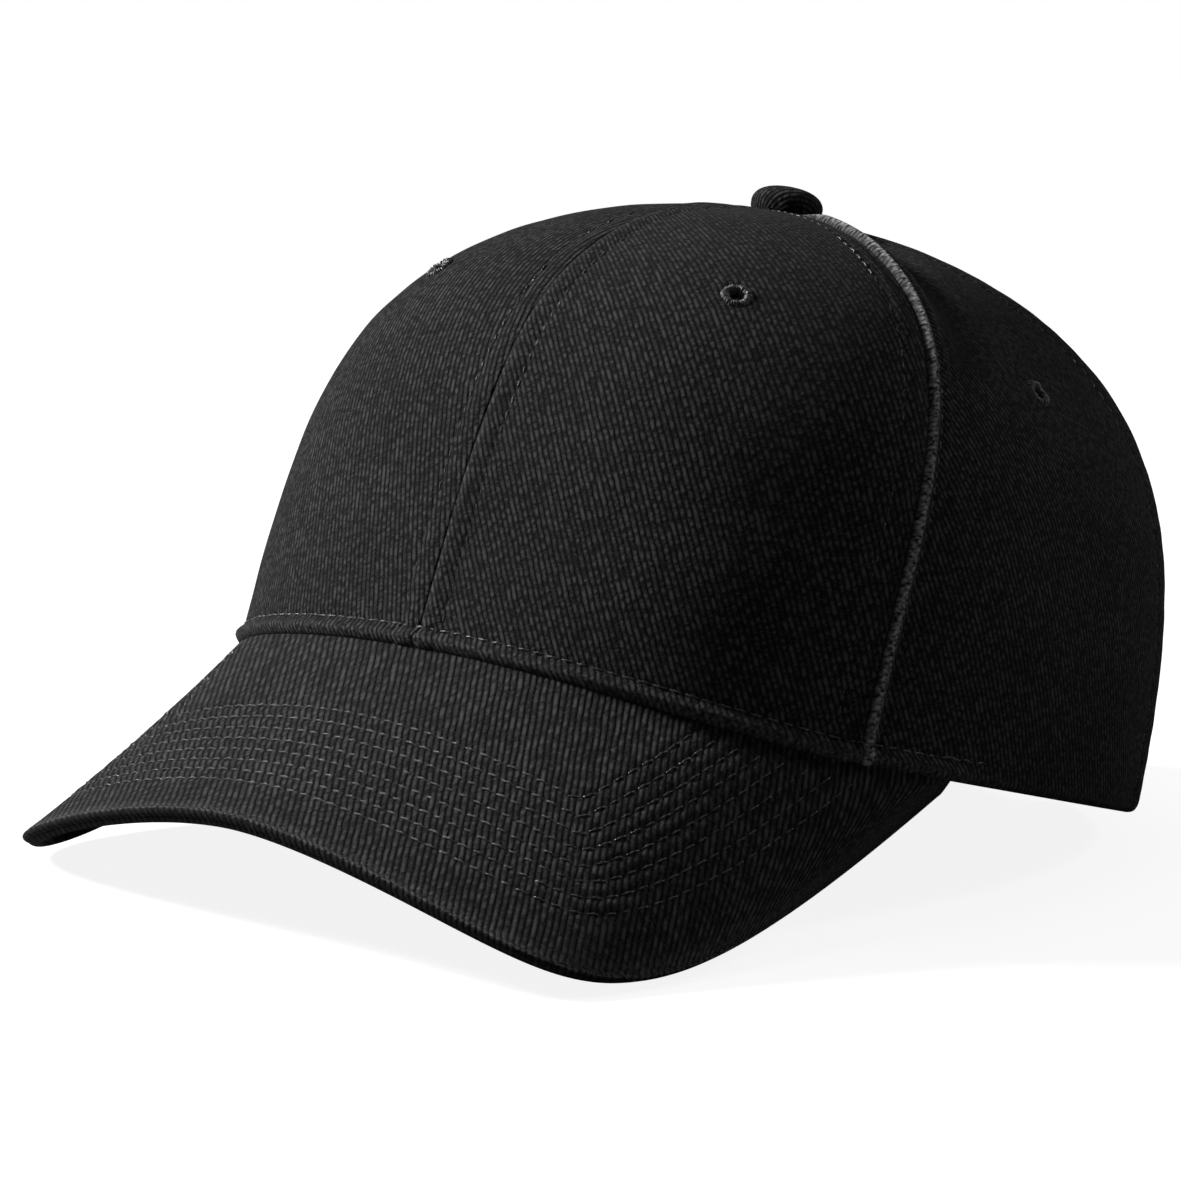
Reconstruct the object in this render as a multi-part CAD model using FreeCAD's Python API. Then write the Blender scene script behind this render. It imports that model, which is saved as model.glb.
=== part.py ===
"""Six-panel baseball cap with a curved visor and a strap closure, standing on its visor and its back hem."""
import FreeCAD, Part
import math
import os

Vec = FreeCAD.Vector

# Everything is drawn in the crown's own frame, in millimetres: the hem lies in the plane z = 0, the visor
# points along -Y and the wearer's left is +X. place() then leans the cap back and sets it on the ground.

# Crown
crown_half_width = 90.0
crown_front = 91.0              # hem centre to the front of the hem
crown_back = 95.5               # hem centre to the back of the hem
crown_height = 111.0
plan_power = 2.35               # superellipse power of the hem's outline
side_power = {"front": 5.4, "side": 2.8, "back": 4.0}       # high: the wall climbs upright before it turns
top_power = {"front": 1.75, "side": 1.9, "back": 2.7}       # high: the top is flat before it turns down
front_taper = 0.16              # how far the front leans in on its way up
top_set_back = 2.0
panel_thickness = 1.0
layer_gap = 0.06                # between two pressed or glued layers
lining_gap = 0.25               # between the panels and the linings behind them
seam_gap = 0.2                  # between two panels' edges
apex_hole_radius = 4.0

# Seams, as angles about the crown from the middle of the front
side_seam_angle = 57.5
rear_seam_angle = 121.0
seam_bow = 5.7                  # how far a side seam swings back half way up
seam_bow_power = 1.78

# Hem over the visor
hem_rise = 6.5
hem_rise_angle = 55.5
hem_rise_power = 1.5

# Visor
visor_angle = 71.6              # crown angle at which the visor's corners meet the hem
visor_end = 0.985               # the corners are cut blunt just short of that
visor_front_reach = 133.4       # hem centre to the middle of the visor's front edge
visor_front_drop = 30.1
visor_front_handle = 31.1       # control points of the edge curve, from the front round to the corner
visor_edge_handles = [(83.1, -124.3, -46.7), (82.7, -118.9, -53.8), (74.6, -80.8, -49.1)]
visor_hollow = 4.5              # dip of the middle below a straight line from hem to edge
visor_swell = 2.6               # rise of the flanks above that line
visor_curve_length = 70.0       # run from hem to edge at which the dip and the rise are full
visor_hem_gap = 0.25
cover_thickness = 0.8
board_thickness = 2.0
board_inset = 0.02              # share of the visor's run kept clear at the board's rim

# Linings
buckram_thickness = 0.6
buckram_inset = 3.0
buckram_top = 0.93
tape_width = 12.0
tape_thickness = 0.4
tape_apex_radius = 16.0
band_height = 32.0
band_hem_gap = 1.5
band_depth = 2.8                # crown face to the pad's outer face
band_back_room = 4.0            # more room behind the band where the strap runs
band_room_angles = (98.0, 120.0)
band_end_angle = 149.0
pad_thickness = 1.4
band_thickness = 0.8
label_width = 24.0
label_height = 14.0
label_thickness = 0.3
label_angle = 136.0

# Eyelets
eyelet_bore_radius = 1.5
eyelet_wall = 0.7
eyelet_flange_radius = 3.3
eyelet_flange = 0.45
eyelet_clearance = 0.12
eyelet_places = {"front": (32.0, 84.2), "side": (91.2, 79.2), "back": (150.0, 80.0)}   # angle, height

# Button
button_radius = 7.7
button_height = 6.0
button_cover_thickness = 0.6
button_shell_thickness = 0.4
button_plate_thickness = 0.6
button_seat_gap = 0.1
rivet_radius = 1.3
washer_radius = 7.0
washer_thickness = 0.6
washer_depth = 1.7

# Opening at the back and its strap
arch_half_width = 42.0
arch_height = 50.0
arch_tape_width = 8.0
strap_width = 18.0
strap_thickness = 1.6
strap_bottom = 6.0
strap_depth = 2.5               # hem line to the strap's outer face
strap_tuck = 14.0               # length hidden inside the crown at each end
strap_travel = 10.0             # each way
strap_gap = 0.35                # clearance all round where the strap runs

# Buckle
buckle_length = 20.0
buckle_wall = 1.0
buckle_offset = 25.0            # middle of the back to the middle of the buckle, towards the wearer's right
window_start = 2.4              # from the pin's axis
window_length = 6.5
window_rim = 3.0
pin_radius = 0.8
pin_clearance = 0.05
pin_inset = 2.4                 # buckle's end to the pin's axis
knuckle_radius = 1.7
knuckle_gap = 0.3
ear_width = 1.6
lever_length = 14.0
lever_thickness = 1.0
lever_lip_radius = 0.9
jaw_start = 3.4
jaw_length = 1.5
tab_thickness = 0.8
tab_length = 17.0

across = 12                     # spans of a fitted surface round the crown
upward = 18                     # spans from hem to top, crowded towards the top
crowding = 1.4
visor_spans = 32
band_spans = 48


def blend(angle, values):
    """Mix a front, side and back value by direction."""
    front = max(math.cos(angle), 0.0) ** 2
    back = max(-math.cos(angle), 0.0) ** 2
    side = math.sin(angle) ** 2
    return values["front"] * front + values["side"] * side + values["back"] * back


def hem_radius(angle):
    length = crown_front if math.cos(angle) > 0 else crown_back
    wide = (abs(math.sin(angle)) / crown_half_width) ** plan_power
    deep = (abs(math.cos(angle)) / length) ** plan_power
    return 1.0 / (wide + deep) ** (1.0 / plan_power)


def crown_radius(angle, climb):
    """Distance from the crown's axis; climb runs from 0 at the hem to 1 at the top."""
    turn = math.pi / 2 * climb ** (blend(angle, side_power) / 2)
    rise = math.sin(turn) ** (2 / blend(angle, side_power))
    taper = 1 - front_taper * max(math.cos(angle), 0.0) ** 2 * rise
    return hem_radius(angle) * max(math.cos(turn), 0.0) ** (2 / blend(angle, top_power)) * taper


def crown_face(angle, climb):
    turn = math.pi / 2 * climb ** (blend(angle, side_power) / 2)
    rise = math.sin(turn) ** (2 / blend(angle, side_power))
    radius = crown_radius(angle, climb)
    return Vec(radius * math.sin(angle), top_set_back * rise - radius * math.cos(angle), crown_height * rise)


def crown_point(angle, climb, depth=0.0):
    """A point on the crown's outer face, or depth millimetres inside it."""
    step = 1e-4
    low = max(climb, 2 * step)
    along = crown_face(angle + step, low) - crown_face(angle - step, low)
    up = crown_face(angle, low + step) - crown_face(angle, low - step)
    return crown_face(angle, climb) - along.cross(up).normalize() * depth


def climb_to_height(angle, height):
    power = blend(angle, side_power)
    share = min(max(height / crown_height, 0.0), 1.0)
    return (2 / math.pi * math.asin(share ** (power / 2))) ** (2 / power)


def climb_to_radius(angle, radius):
    low, high = 0.5, 1.0
    for _ in range(40):
        middle = (low + high) / 2
        if crown_radius(angle, middle) > radius:
            low = middle
        else:
            high = middle
    return low


def hem_height(angle):
    away = abs(math.atan2(math.sin(angle), math.cos(angle))) / math.radians(hem_rise_angle)
    return hem_rise * max(1 - away ** 2, 0.0) ** hem_rise_power


def seam_angle(name, climb):
    bow = math.radians(seam_bow) * math.sin(math.pi * climb ** seam_bow_power)
    return {"front": 0.0,
            "side": math.radians(side_seam_angle) + bow,
            "rear": math.radians(rear_seam_angle) + bow / 2,
            "back": math.pi}[name]


def grid(rows, columns, point):
    return [[point(i / rows, j / columns) for j in range(columns + 1)] for i in range(rows + 1)]


def slab(rows, columns, point, top, bottom):
    """Closed solid between two fitted surfaces; point(u, v, depth) gives a place on either."""
    faces = []
    sides = []
    for depth in (top, bottom):
        surface = Part.BSplineSurface()
        surface.interpolate(grid(rows, columns, lambda u, v: point(u, v, depth)))
        first_u, last_u, first_v, last_v = surface.bounds()
        faces.append(surface.toShape())
        sides.append([surface.uIso(first_u), surface.uIso(last_u), surface.vIso(first_v), surface.vIso(last_v)])
    for upper, lower in zip(*sides):
        faces.append(Part.makeRuledSurface(upper.toShape(), lower.toShape()))
    shell = Part.makeShell(faces)
    shell.sewShape()
    solid = Part.makeSolid(shell)
    if solid.Volume < 0:
        solid.reverse()
    return solid


def crown_patch(edge_a, edge_b, foot, head, top, bottom):
    """Slab that follows the crown between two seam-like edges, given as functions of the climb."""
    def point(u, v, depth):
        climb = 0.5
        angle = 0.0
        share = 1 - (1 - v) ** crowding
        for _ in range(6):
            angle = edge_a(climb) * (1 - u) + edge_b(climb) * u
            climb = foot(angle) * (1 - share) + head(angle) * share
        return crown_point(angle, climb, depth)
    return slab(across, upward, point, top, bottom)


def mirror(shape):
    return shape.mirror(Vec(0, 0, 0), Vec(1, 0, 0))


def hem_climb(angle):
    return climb_to_height(angle, hem_height(angle))


def apex_climb(angle):
    return climb_to_radius(angle, apex_hole_radius)


def beside(seam, distance):
    """An edge that keeps a distance from a seam."""
    return lambda climb: seam_angle(seam, climb) + distance / crown_radius(seam_angle(seam, climb), climb)


def arch_prism(margin):
    """The half-moon opening as a prism along Y, margin larger all round."""
    turns = [math.pi * step / 12 for step in range(13)]
    half_width = arch_half_width + margin
    height = arch_height + margin
    curve = Part.BSplineCurve()
    curve.interpolate([Vec(half_width * math.cos(turn), 0, height * math.sin(turn)) for turn in turns])
    corners = [Vec(-half_width, 0, 0), Vec(-half_width, 0, -crown_height),
               Vec(half_width, 0, -crown_height), Vec(half_width, 0, 0)]
    outline = Part.Wire([curve.toShape()] + Part.makePolygon(corners).Edges)
    return Part.Face(outline).extrude(Vec(0, 2 * crown_back, 0))


def eyelet_frame(name):
    """Where an eyelet sits on the wearer's left: its centre on the outer face and the way out."""
    angle, height = eyelet_places[name]
    angle = math.radians(angle)
    climb = climb_to_height(angle, height)
    centre = crown_point(angle, climb)
    return centre, (centre - crown_point(angle, climb, 1.0)).normalize()


def cloth_depth(name):
    """Thickness of the layers that an eyelet goes through."""
    return panel_thickness + (lining_gap + buckram_thickness if name == "front" else 0.0)


def eyelet_hole(name):
    centre, outward = eyelet_frame(name)
    radius = eyelet_bore_radius + eyelet_wall + eyelet_clearance
    reach = cloth_depth(name) + eyelet_flange_radius
    return Part.makeCylinder(radius, 2 * reach, centre - outward * reach, outward)


def eyelet(name):
    centre, outward = eyelet_frame(name)
    inner = centre - outward * (cloth_depth(name) + eyelet_clearance + eyelet_flange)
    outer = centre + outward * eyelet_clearance
    length = (outer - inner).Length + eyelet_flange
    body = Part.makeCylinder(eyelet_bore_radius + eyelet_wall, length, inner, outward)
    for start in (inner, outer):
        body = body.fuse(Part.makeCylinder(eyelet_flange_radius, eyelet_flange, start, outward))
    return body.cut(Part.makeCylinder(eyelet_bore_radius, 3 * length, inner - outward * length, outward))


def panel(first, second, eyelet_name):
    margin = seam_gap / 2
    solid = crown_patch(beside(first, margin), beside(second, -margin), hem_climb, apex_climb, 0, panel_thickness)
    return solid.cut(eyelet_hole(eyelet_name))


def buckram():
    top = panel_thickness + lining_gap
    solid = crown_patch(beside("front", buckram_inset), beside("side", -buckram_inset),
                        hem_climb, lambda angle: buckram_top, top, top + buckram_thickness)
    return solid.cut(eyelet_hole("front"))


def tape(seam):
    over_buckram = seam in ("front", "side")
    top = panel_thickness + lining_gap + (buckram_thickness + lining_gap if over_buckram else 0.0)
    foot = hem_climb
    if seam == "back":
        foot = lambda angle: climb_to_height(angle, arch_height + arch_tape_width + tape_width)
    return crown_patch(beside(seam, -tape_width / 2), beside(seam, tape_width / 2), foot,
                       lambda angle: climb_to_radius(angle, tape_apex_radius), top, top + tape_thickness)


def arch_tape():
    """Binding inside the edge of the half-moon opening."""
    top = panel_thickness + lining_gap
    reach = math.radians(45)
    ring = crown_patch(lambda climb: math.pi - reach, lambda climb: math.pi + reach, hem_climb,
                       lambda angle: climb_to_height(angle, arch_height + arch_tape_width + tape_width / 2),
                       top, top + tape_thickness)
    return ring.common(arch_prism(arch_tape_width)).cut(arch_prism(0))


def band_point(angle, height, depth):
    low, high = (math.radians(limit) for limit in band_room_angles)
    share = min(max((abs(angle) - low) / (high - low), 0.0), 1.0)
    room = band_back_room * share ** 2 * (3 - 2 * share)
    return crown_point(angle, climb_to_height(angle, hem_height(angle) + height), depth + room)


def band_layer(top, thickness, start, end, low, high, spans):
    """A strip of the sweatband between two angles and two heights above the hem."""
    def point(u, v, depth):
        angle = math.radians(start + (end - start) * u)
        return band_point(angle, low + (high - low) * v, depth)
    return slab(spans, 4, point, top, top + thickness)


def visor_corner():
    return crown_face(math.radians(visor_angle), hem_climb(math.radians(visor_angle)))


def visor_edge(share):
    """Outer edge of the visor's top, from the middle of the front (0) to the wearer's left corner (1)."""
    front = Vec(0, -visor_front_reach, -visor_front_drop)
    handles = [front, front + Vec(visor_front_handle, 0, 0)] + [Vec(*handle) for handle in visor_edge_handles]
    handles.append(visor_corner())
    last = len(handles) - 1
    total = Vec(0, 0, 0)
    for number, handle in enumerate(handles):
        total = total + handle * (math.comb(last, number) * share ** number * (1 - share) ** (last - number))
    return total


def visor_face(side, run):
    """Top of the visor: side from -1 to 1 across it, run from 0 at the hem to 1 at the edge."""
    share = abs(side)
    angle = math.radians(visor_angle) * share
    inner = crown_face(angle, hem_climb(angle)) - Vec(0, 0, visor_hem_gap)
    outer = visor_edge(share)
    place = inner * (1 - run) + outer * run
    rise = visor_swell * math.sin(math.pi * share) ** 2 - visor_hollow * (1 - share ** 2)
    place.z += rise * 4 * run * (1 - run) * (outer - inner).Length / visor_curve_length
    if side < 0:
        place.x = -place.x
    return place


def visor_point(side, run, depth):
    step = 1e-4
    across_visor = visor_face(side + step, run) - visor_face(side - step, run)
    along_visor = visor_face(side, run + step) - visor_face(side, run - step)
    return visor_face(side, run) - along_visor.cross(across_visor).normalize() * depth


def visor_layer(top, thickness, inset):
    end = visor_end - inset / 4

    def point(u, v, depth):
        return visor_point(end * (2 * u - 1), inset + (1 - 2 * inset) * v, depth)
    return slab(visor_spans, 8, point, top, top + thickness)


def dome(radius, height, shoulder):
    """Solid button shape standing on z = 0."""
    turns = [math.pi / 2 * step / 6 for step in range(7)]
    curve = Part.BSplineCurve()
    curve.interpolate([Vec(radius * math.cos(turn), 0, shoulder + (height - shoulder) * math.sin(turn))
                       for turn in turns])
    foot = Part.makePolygon([Vec(0, 0, height), Vec(0, 0, 0), Vec(radius, 0, 0), Vec(radius, 0, shoulder)])
    return Part.Face(Part.Wire([curve.toShape()] + foot.Edges)).revolve(Vec(0, 0, 0), Vec(0, 0, 1), 360)


def button():
    """Pieces of the top button, drawn about the crown's own apex."""
    shoulder = button_height / 3
    pieces = {}
    radius = button_radius
    height = button_height
    for name, thickness in (("button_cover", button_cover_thickness), ("button_shell", button_shell_thickness)):
        hollow = dome(radius - thickness, height - thickness, shoulder)
        pieces[name] = dome(radius, height, shoulder).cut(hollow)
        radius -= thickness + layer_gap
        height -= thickness + layer_gap
    hole = Part.makeCylinder(rivet_radius + layer_gap, crown_height, Vec(0, 0, -crown_height / 2))
    pieces["button_plate"] = Part.makeCylinder(radius, button_plate_thickness).cut(hole)
    washer_low = -button_seat_gap - washer_depth - washer_thickness
    pieces["button_washer"] = Part.makeCylinder(washer_radius, washer_thickness, Vec(0, 0, washer_low)).cut(hole)
    head = rivet_radius
    top = button_plate_thickness + layer_gap
    rivet = Part.makeCylinder(rivet_radius, top + 2 * head - washer_low, Vec(0, 0, washer_low - head))
    for start in (top, washer_low - layer_gap - head):
        rivet = rivet.fuse(Part.makeCylinder(2 * head, head, Vec(0, 0, start)))
    pieces["button_rivet"] = rivet
    for solid in pieces.values():
        solid.translate(Vec(0, top_set_back, crown_height + button_seat_gap))
    return pieces


def hem_point_at(x):
    """Point of the back hem at a distance to the side."""
    low, high = math.pi / 2, math.pi
    for _ in range(50):
        middle = (low + high) / 2
        if hem_radius(middle) * math.sin(middle) > x:
            low = middle
        else:
            high = middle
    return Vec(x, -hem_radius(low) * math.cos(low), 0)


def strap_circle():
    """Centre (on the Y axis) and radius of the arc that the hem is nearest to over the strap's whole travel."""
    reach = hem_point_at(arch_half_width + strap_tuck + strap_travel)
    drop = crown_back - reach.y
    radius = (reach.x ** 2 + drop ** 2) / (2 * drop)
    return crown_back - radius, radius


def arc_block(depth, thickness, middle, length, low, high):
    """Block that follows the strap's arc; middle and length are measured along the arc from the back's middle."""
    centre, radius = strap_circle()
    outer = radius - depth
    start = (middle - length / 2) / radius
    corners = [(outer - thickness, low), (outer, low), (outer, high), (outer - thickness, high)]
    section = Part.Face(Part.makePolygon([Vec(0, r, z) for r, z in corners + corners[:1]]))
    block = section.revolve(Vec(0, 0, 0), Vec(0, 0, -1), math.degrees(length / radius))
    block.rotate(Vec(0, 0, 0), Vec(0, 0, -1), math.degrees(start))
    block.translate(Vec(0, centre, 0))
    return block


def at_pin(shape):
    """Move a shape drawn about the buckle's pin (X along the strap, Y outward) to its place."""
    centre, radius = strap_circle()
    along = pin_along()
    shape.translate(Vec(0, pin_reach(), 0))
    shape.rotate(Vec(0, 0, 0), Vec(0, 0, -1), math.degrees(along / radius))
    shape.translate(Vec(0, centre, 0))
    return shape


def pin_along():
    return -buckle_offset - buckle_length / 2 + pin_inset


def pin_reach():
    """Distance from the strap's centre to the pin's axis."""
    return strap_circle()[1] - strap_depth + strap_gap + buckle_wall + knuckle_gap + knuckle_radius


def buckle_span():
    low = strap_bottom - strap_gap - buckle_wall
    return low, strap_bottom + strap_width + strap_gap + buckle_wall


def box_at(x, length, y, depth, z, height):
    return Part.makeBox(length, depth, height, Vec(x, y, z))


def buckle_frame():
    low, high = buckle_span()
    tunnel_depth = strap_depth - strap_gap
    tunnel = strap_thickness + 2 * strap_gap
    body = arc_block(tunnel_depth - buckle_wall, tunnel + 2 * buckle_wall, -buckle_offset, buckle_length, low, high)
    body = body.cut(arc_block(tunnel_depth, tunnel, -buckle_offset, 2 * buckle_length,
                              low + buckle_wall, high - buckle_wall))
    middle = pin_along() + window_start + window_length / 2
    body = body.cut(arc_block(tunnel_depth - 2 * buckle_wall, 2.5 * buckle_wall, middle, window_length,
                              low + window_rim, high - window_rim))
    web = knuckle_radius + knuckle_gap + buckle_wall / 2
    for start in (low, high - ear_width):
        ear = Part.makeCylinder(knuckle_radius, ear_width, Vec(0, 0, start))
        ear = ear.fuse(box_at(-knuckle_radius, 2 * knuckle_radius, -web, web, start, ear_width))
        body = body.fuse(at_pin(ear))
    return body.cut(at_pin(Part.makeCylinder(pin_radius, high - low, Vec(0, 0, low)))).removeSplitter()


def buckle_lever():
    low, high = buckle_span()
    low += ear_width + strap_gap
    high -= ear_width + strap_gap
    half = lever_thickness / 2
    lever = Part.makeCylinder(knuckle_radius, high - low, Vec(0, 0, low))
    lever = lever.fuse(box_at(0, lever_length, -half, lever_thickness, low, high - low))
    lever = lever.fuse(Part.makeCylinder(lever_lip_radius, high - low, Vec(lever_length, half, low)))
    jaw = knuckle_radius + knuckle_gap + buckle_wall
    rim = window_rim
    lever = lever.fuse(box_at(jaw_start, jaw_length, -jaw, jaw, buckle_span()[0] + rim + strap_gap,
                              buckle_span()[1] - buckle_span()[0] - 2 * (rim + strap_gap)))
    bore = Part.makeCylinder(pin_radius + pin_clearance, high - low, Vec(0, 0, low))
    return at_pin(lever.cut(bore).removeSplitter())


def strap_pieces():
    top = strap_bottom + strap_width
    length = 2 * (arch_half_width + strap_tuck)
    tab_start = -buckle_offset - buckle_length / 2 - layer_gap
    low, high = buckle_span()
    return {
        "closure_strap": arc_block(strap_depth, strap_thickness, 0, length, strap_bottom, top),
        "buckle_frame": buckle_frame(),
        "buckle_pin": at_pin(Part.makeCylinder(pin_radius, high - low, Vec(0, 0, low))),
        "buckle_lever": buckle_lever(),
        "buckle_tab": arc_block(strap_depth - strap_gap - tab_thickness, tab_thickness, tab_start - tab_length / 2,
                                tab_length, strap_bottom, top),
    }


def both_sides(name, left):
    return {name + "_left": left, name + "_right": mirror(left)}


def crown_pieces():
    pieces = {}
    pieces.update(both_sides("front_panel", panel("front", "side", "front")))
    pieces.update(both_sides("side_panel", panel("side", "rear", "side")))
    pieces.update(both_sides("back_panel", panel("rear", "back", "back").cut(arch_prism(0))))
    pieces.update(both_sides("front_buckram", buckram()))
    pieces["front_seam_tape"] = tape("front")
    pieces.update(both_sides("side_seam_tape", tape("side")))
    pieces.update(both_sides("rear_seam_tape", tape("rear")))
    pieces["back_seam_tape"] = tape("back")
    pieces["arch_tape"] = arch_tape()
    for name in eyelet_places:
        pieces.update(both_sides(name + "_eyelet", eyelet(name)))
    return pieces


def band_pieces():
    cover = band_depth + pad_thickness + layer_gap
    label = cover + band_thickness + layer_gap
    label_turn = math.degrees(label_width / hem_radius(math.radians(label_angle)))
    label_low = band_hem_gap + (band_height - label_height) / 2
    top = band_hem_gap + band_height
    return {
        "sweatband_pad": band_layer(band_depth, pad_thickness, -band_end_angle, band_end_angle,
                                    band_hem_gap, top, band_spans),
        "sweatband": band_layer(cover, band_thickness, -band_end_angle, band_end_angle,
                                band_hem_gap, top, band_spans),
        "size_label": band_layer(label, label_thickness, label_angle - label_turn / 2,
                                 label_angle + label_turn / 2, label_low, label_low + label_height, 6),
    }


def visor_pieces():
    board = cover_thickness + layer_gap
    under = board + board_thickness + layer_gap
    return {
        "visor_top_cover": visor_layer(0, cover_thickness, 0),
        "visor_board": visor_layer(board, board_thickness, board_inset),
        "visor_under_cover": visor_layer(under, cover_thickness, 0),
    }


def resting_tilt():
    """Lean that puts the visor's lowest edge level with the hem's corners at the back opening."""
    corner = hem_point_at(arch_half_width)
    bottom = 2 * cover_thickness + board_thickness + 2 * layer_gap
    edge = [visor_point(visor_end * step / 100, 1, bottom) for step in range(101)]
    tilt = 0.0
    for _ in range(20):
        lowest = min(edge, key=lambda place: place.z * math.cos(tilt) - place.y * math.sin(tilt))
        tilt = math.atan2(corner.z - lowest.z, corner.y - lowest.y)
    return tilt, corner.y * math.sin(tilt) - corner.z * math.cos(tilt)


def place(pieces):
    """Lean the cap back onto its resting points and centre it over the origin."""
    tilt, lift = resting_tilt()
    leaning = FreeCAD.Placement(Vec(0, 0, lift), FreeCAD.Rotation(Vec(1, 0, 0), -math.degrees(tilt)))
    for solid in pieces.values():
        solid.Placement = leaning.multiply(solid.Placement)
    box = Part.makeCompound(list(pieces.values())).optimalBoundingBox(True, False)
    shift = Vec(0, -(box.YMin + box.YMax) / 2, 0)
    for solid in pieces.values():
        solid.translate(shift)
    leaning.Base = leaning.Base + shift
    return leaning


def main():
    pieces = crown_pieces()
    pieces.update(band_pieces())
    pieces.update(visor_pieces())
    pieces.update(button())
    pieces.update(strap_pieces())
    frame = place(pieces)
    centre, radius = strap_circle()
    pin = at_pin(Part.makeSphere(pin_radius, Vec(0, 0, sum(buckle_span()) / 2))).CenterOfMass
    print("tilt", round(-math.degrees(frame.Rotation.Angle), 3), "hem centre", frame.Base)
    print("upright axis", frame.Rotation.multVec(Vec(0, 0, 1)))
    print("strap centre", frame.multVec(Vec(0, centre, strap_bottom + strap_width / 2)), "radius", radius)
    print("strap travel degrees", math.degrees(strap_travel / radius))
    print("pin", frame.multVec(pin))
    os.makedirs("parts", exist_ok=True)
    for name, solid in pieces.items():
        if not solid.isValid() or not solid.Solids:
            print("not a sound solid:", name)
        solid.exportStep("parts/" + name + ".step")
    print(len(pieces), "pieces")


main()
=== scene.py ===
import bpy
import math
from functools import partial
import numpy as np
from mathutils import Matrix, Vector


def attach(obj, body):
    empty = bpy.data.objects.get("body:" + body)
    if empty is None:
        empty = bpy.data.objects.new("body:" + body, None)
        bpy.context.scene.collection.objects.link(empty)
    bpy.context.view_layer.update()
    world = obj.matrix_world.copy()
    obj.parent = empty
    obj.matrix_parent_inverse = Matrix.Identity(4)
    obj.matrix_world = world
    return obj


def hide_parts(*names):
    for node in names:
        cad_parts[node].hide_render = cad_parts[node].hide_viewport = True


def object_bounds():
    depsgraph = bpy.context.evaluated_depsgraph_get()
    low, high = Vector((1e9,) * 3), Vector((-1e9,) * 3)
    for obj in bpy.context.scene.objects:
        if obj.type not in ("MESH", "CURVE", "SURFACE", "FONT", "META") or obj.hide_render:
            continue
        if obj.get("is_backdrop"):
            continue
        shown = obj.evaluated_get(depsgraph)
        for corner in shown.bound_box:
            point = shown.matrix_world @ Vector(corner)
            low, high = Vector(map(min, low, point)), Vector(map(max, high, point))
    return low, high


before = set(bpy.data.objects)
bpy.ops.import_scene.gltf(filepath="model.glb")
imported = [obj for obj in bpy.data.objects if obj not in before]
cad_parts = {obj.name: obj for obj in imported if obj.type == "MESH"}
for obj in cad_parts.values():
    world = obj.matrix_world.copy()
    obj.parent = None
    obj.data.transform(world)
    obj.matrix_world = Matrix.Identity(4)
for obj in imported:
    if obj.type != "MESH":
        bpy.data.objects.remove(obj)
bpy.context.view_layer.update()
print("frame loaded:", len(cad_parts), "nodes")

# Crown shape, millimetres in the cap's own frame: hem at z = 0, visor towards -Y, wearer's left +X
crown = {"halfWidth": 90.0, "front": 91.0, "back": 95.5, "height": 111.0, "planPower": 2.35,
    "sidePower": (5.4, 2.8, 4.0), "topPower": (1.75, 1.9, 2.7), "frontTaper": 0.16, "setBack": 2.0,
    "sideSeam": 57.5, "rearSeam": 121.0, "bow": 5.7, "bowPower": 1.78, "hemRise": 6.5, "hemRiseAngle": 55.5,
    "meanRadius": 92.0, "tilt": 13.64, "hemCentre": (0.0, 15.8277, 20.8384),}


def placed(points):
    turn = math.radians(crown["tilt"])
    x, y, z = points[..., 0], points[..., 1], points[..., 2]
    centre = crown["hemCentre"]
    leaning = [x, y * math.cos(turn) + z * math.sin(turn), z * math.cos(turn) - y * math.sin(turn)]
    return np.stack([leaning[k] + centre[k] for k in range(3)], -1) * 0.001


def turned(vectors):
    return placed(vectors) * 1000 - np.array(crown["hemCentre"])


def unit(vectors):
    return vectors / np.maximum(np.linalg.norm(vectors, axis=-1, keepdims=True), 1e-12)


def mixed(angle, values):
    front = np.maximum(np.cos(angle), 0) ** 2
    back = np.maximum(-np.cos(angle), 0) ** 2
    return values[0] * front + values[1] * np.sin(angle) ** 2 + values[2] * back


def crownRadius(angle, climb):
    power = mixed(angle, crown["sidePower"])
    turn = math.pi / 2 * np.clip(climb, 0, 1) ** (power / 2)
    rise = np.sin(turn) ** (2 / power)
    length = np.where(np.cos(angle) > 0, crown["front"], crown["back"])
    wide = (np.abs(np.sin(angle)) / crown["halfWidth"]) ** crown["planPower"]
    hem = (wide + (np.abs(np.cos(angle)) / length) ** crown["planPower"]) ** (-1 / crown["planPower"])
    taper = 1 - crown["frontTaper"] * np.maximum(np.cos(angle), 0) ** 2 * rise
    return hem * np.maximum(np.cos(turn), 0) ** (2 / mixed(angle, crown["topPower"])) * taper, rise


def crownFace(angle, climb):
    radius, rise = crownRadius(angle, climb)
    return np.stack([radius * np.sin(angle), crown["setBack"] * rise - radius * np.cos(angle),
        crown["height"] * rise], -1)


def crownNormal(angle, climb):
    step = 2e-4
    climb = np.clip(climb, 2 * step, 1 - 2 * step)
    along = crownFace(angle + step, climb) - crownFace(angle - step, climb)
    return unit(np.cross(along, crownFace(angle, climb + step) - crownFace(angle, climb - step)))


def crownAt(angle, climb, lift):
    lift = np.asarray(lift, float)
    return crownFace(angle, climb) + crownNormal(angle, climb) * lift[..., None]


def climbAtHeight(angle, height):
    power = mixed(angle, crown["sidePower"])
    share = np.clip(height / crown["height"], 0, 1)
    return (2 / math.pi * np.arcsin(share ** (power / 2))) ** (2 / power)


def climbWhere(inside, angle, low=0.0, high=1.0):
    # halving search for the climb at which inside(angle, climb) stops being true
    low = np.full(np.shape(angle), float(low))
    high = np.full(np.shape(angle), float(high))
    for _ in range(36):
        middle = (low + high) / 2
        keep = inside(angle, middle)
        low = np.where(keep, middle, low)
        high = np.where(keep, high, middle)
    return low


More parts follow.
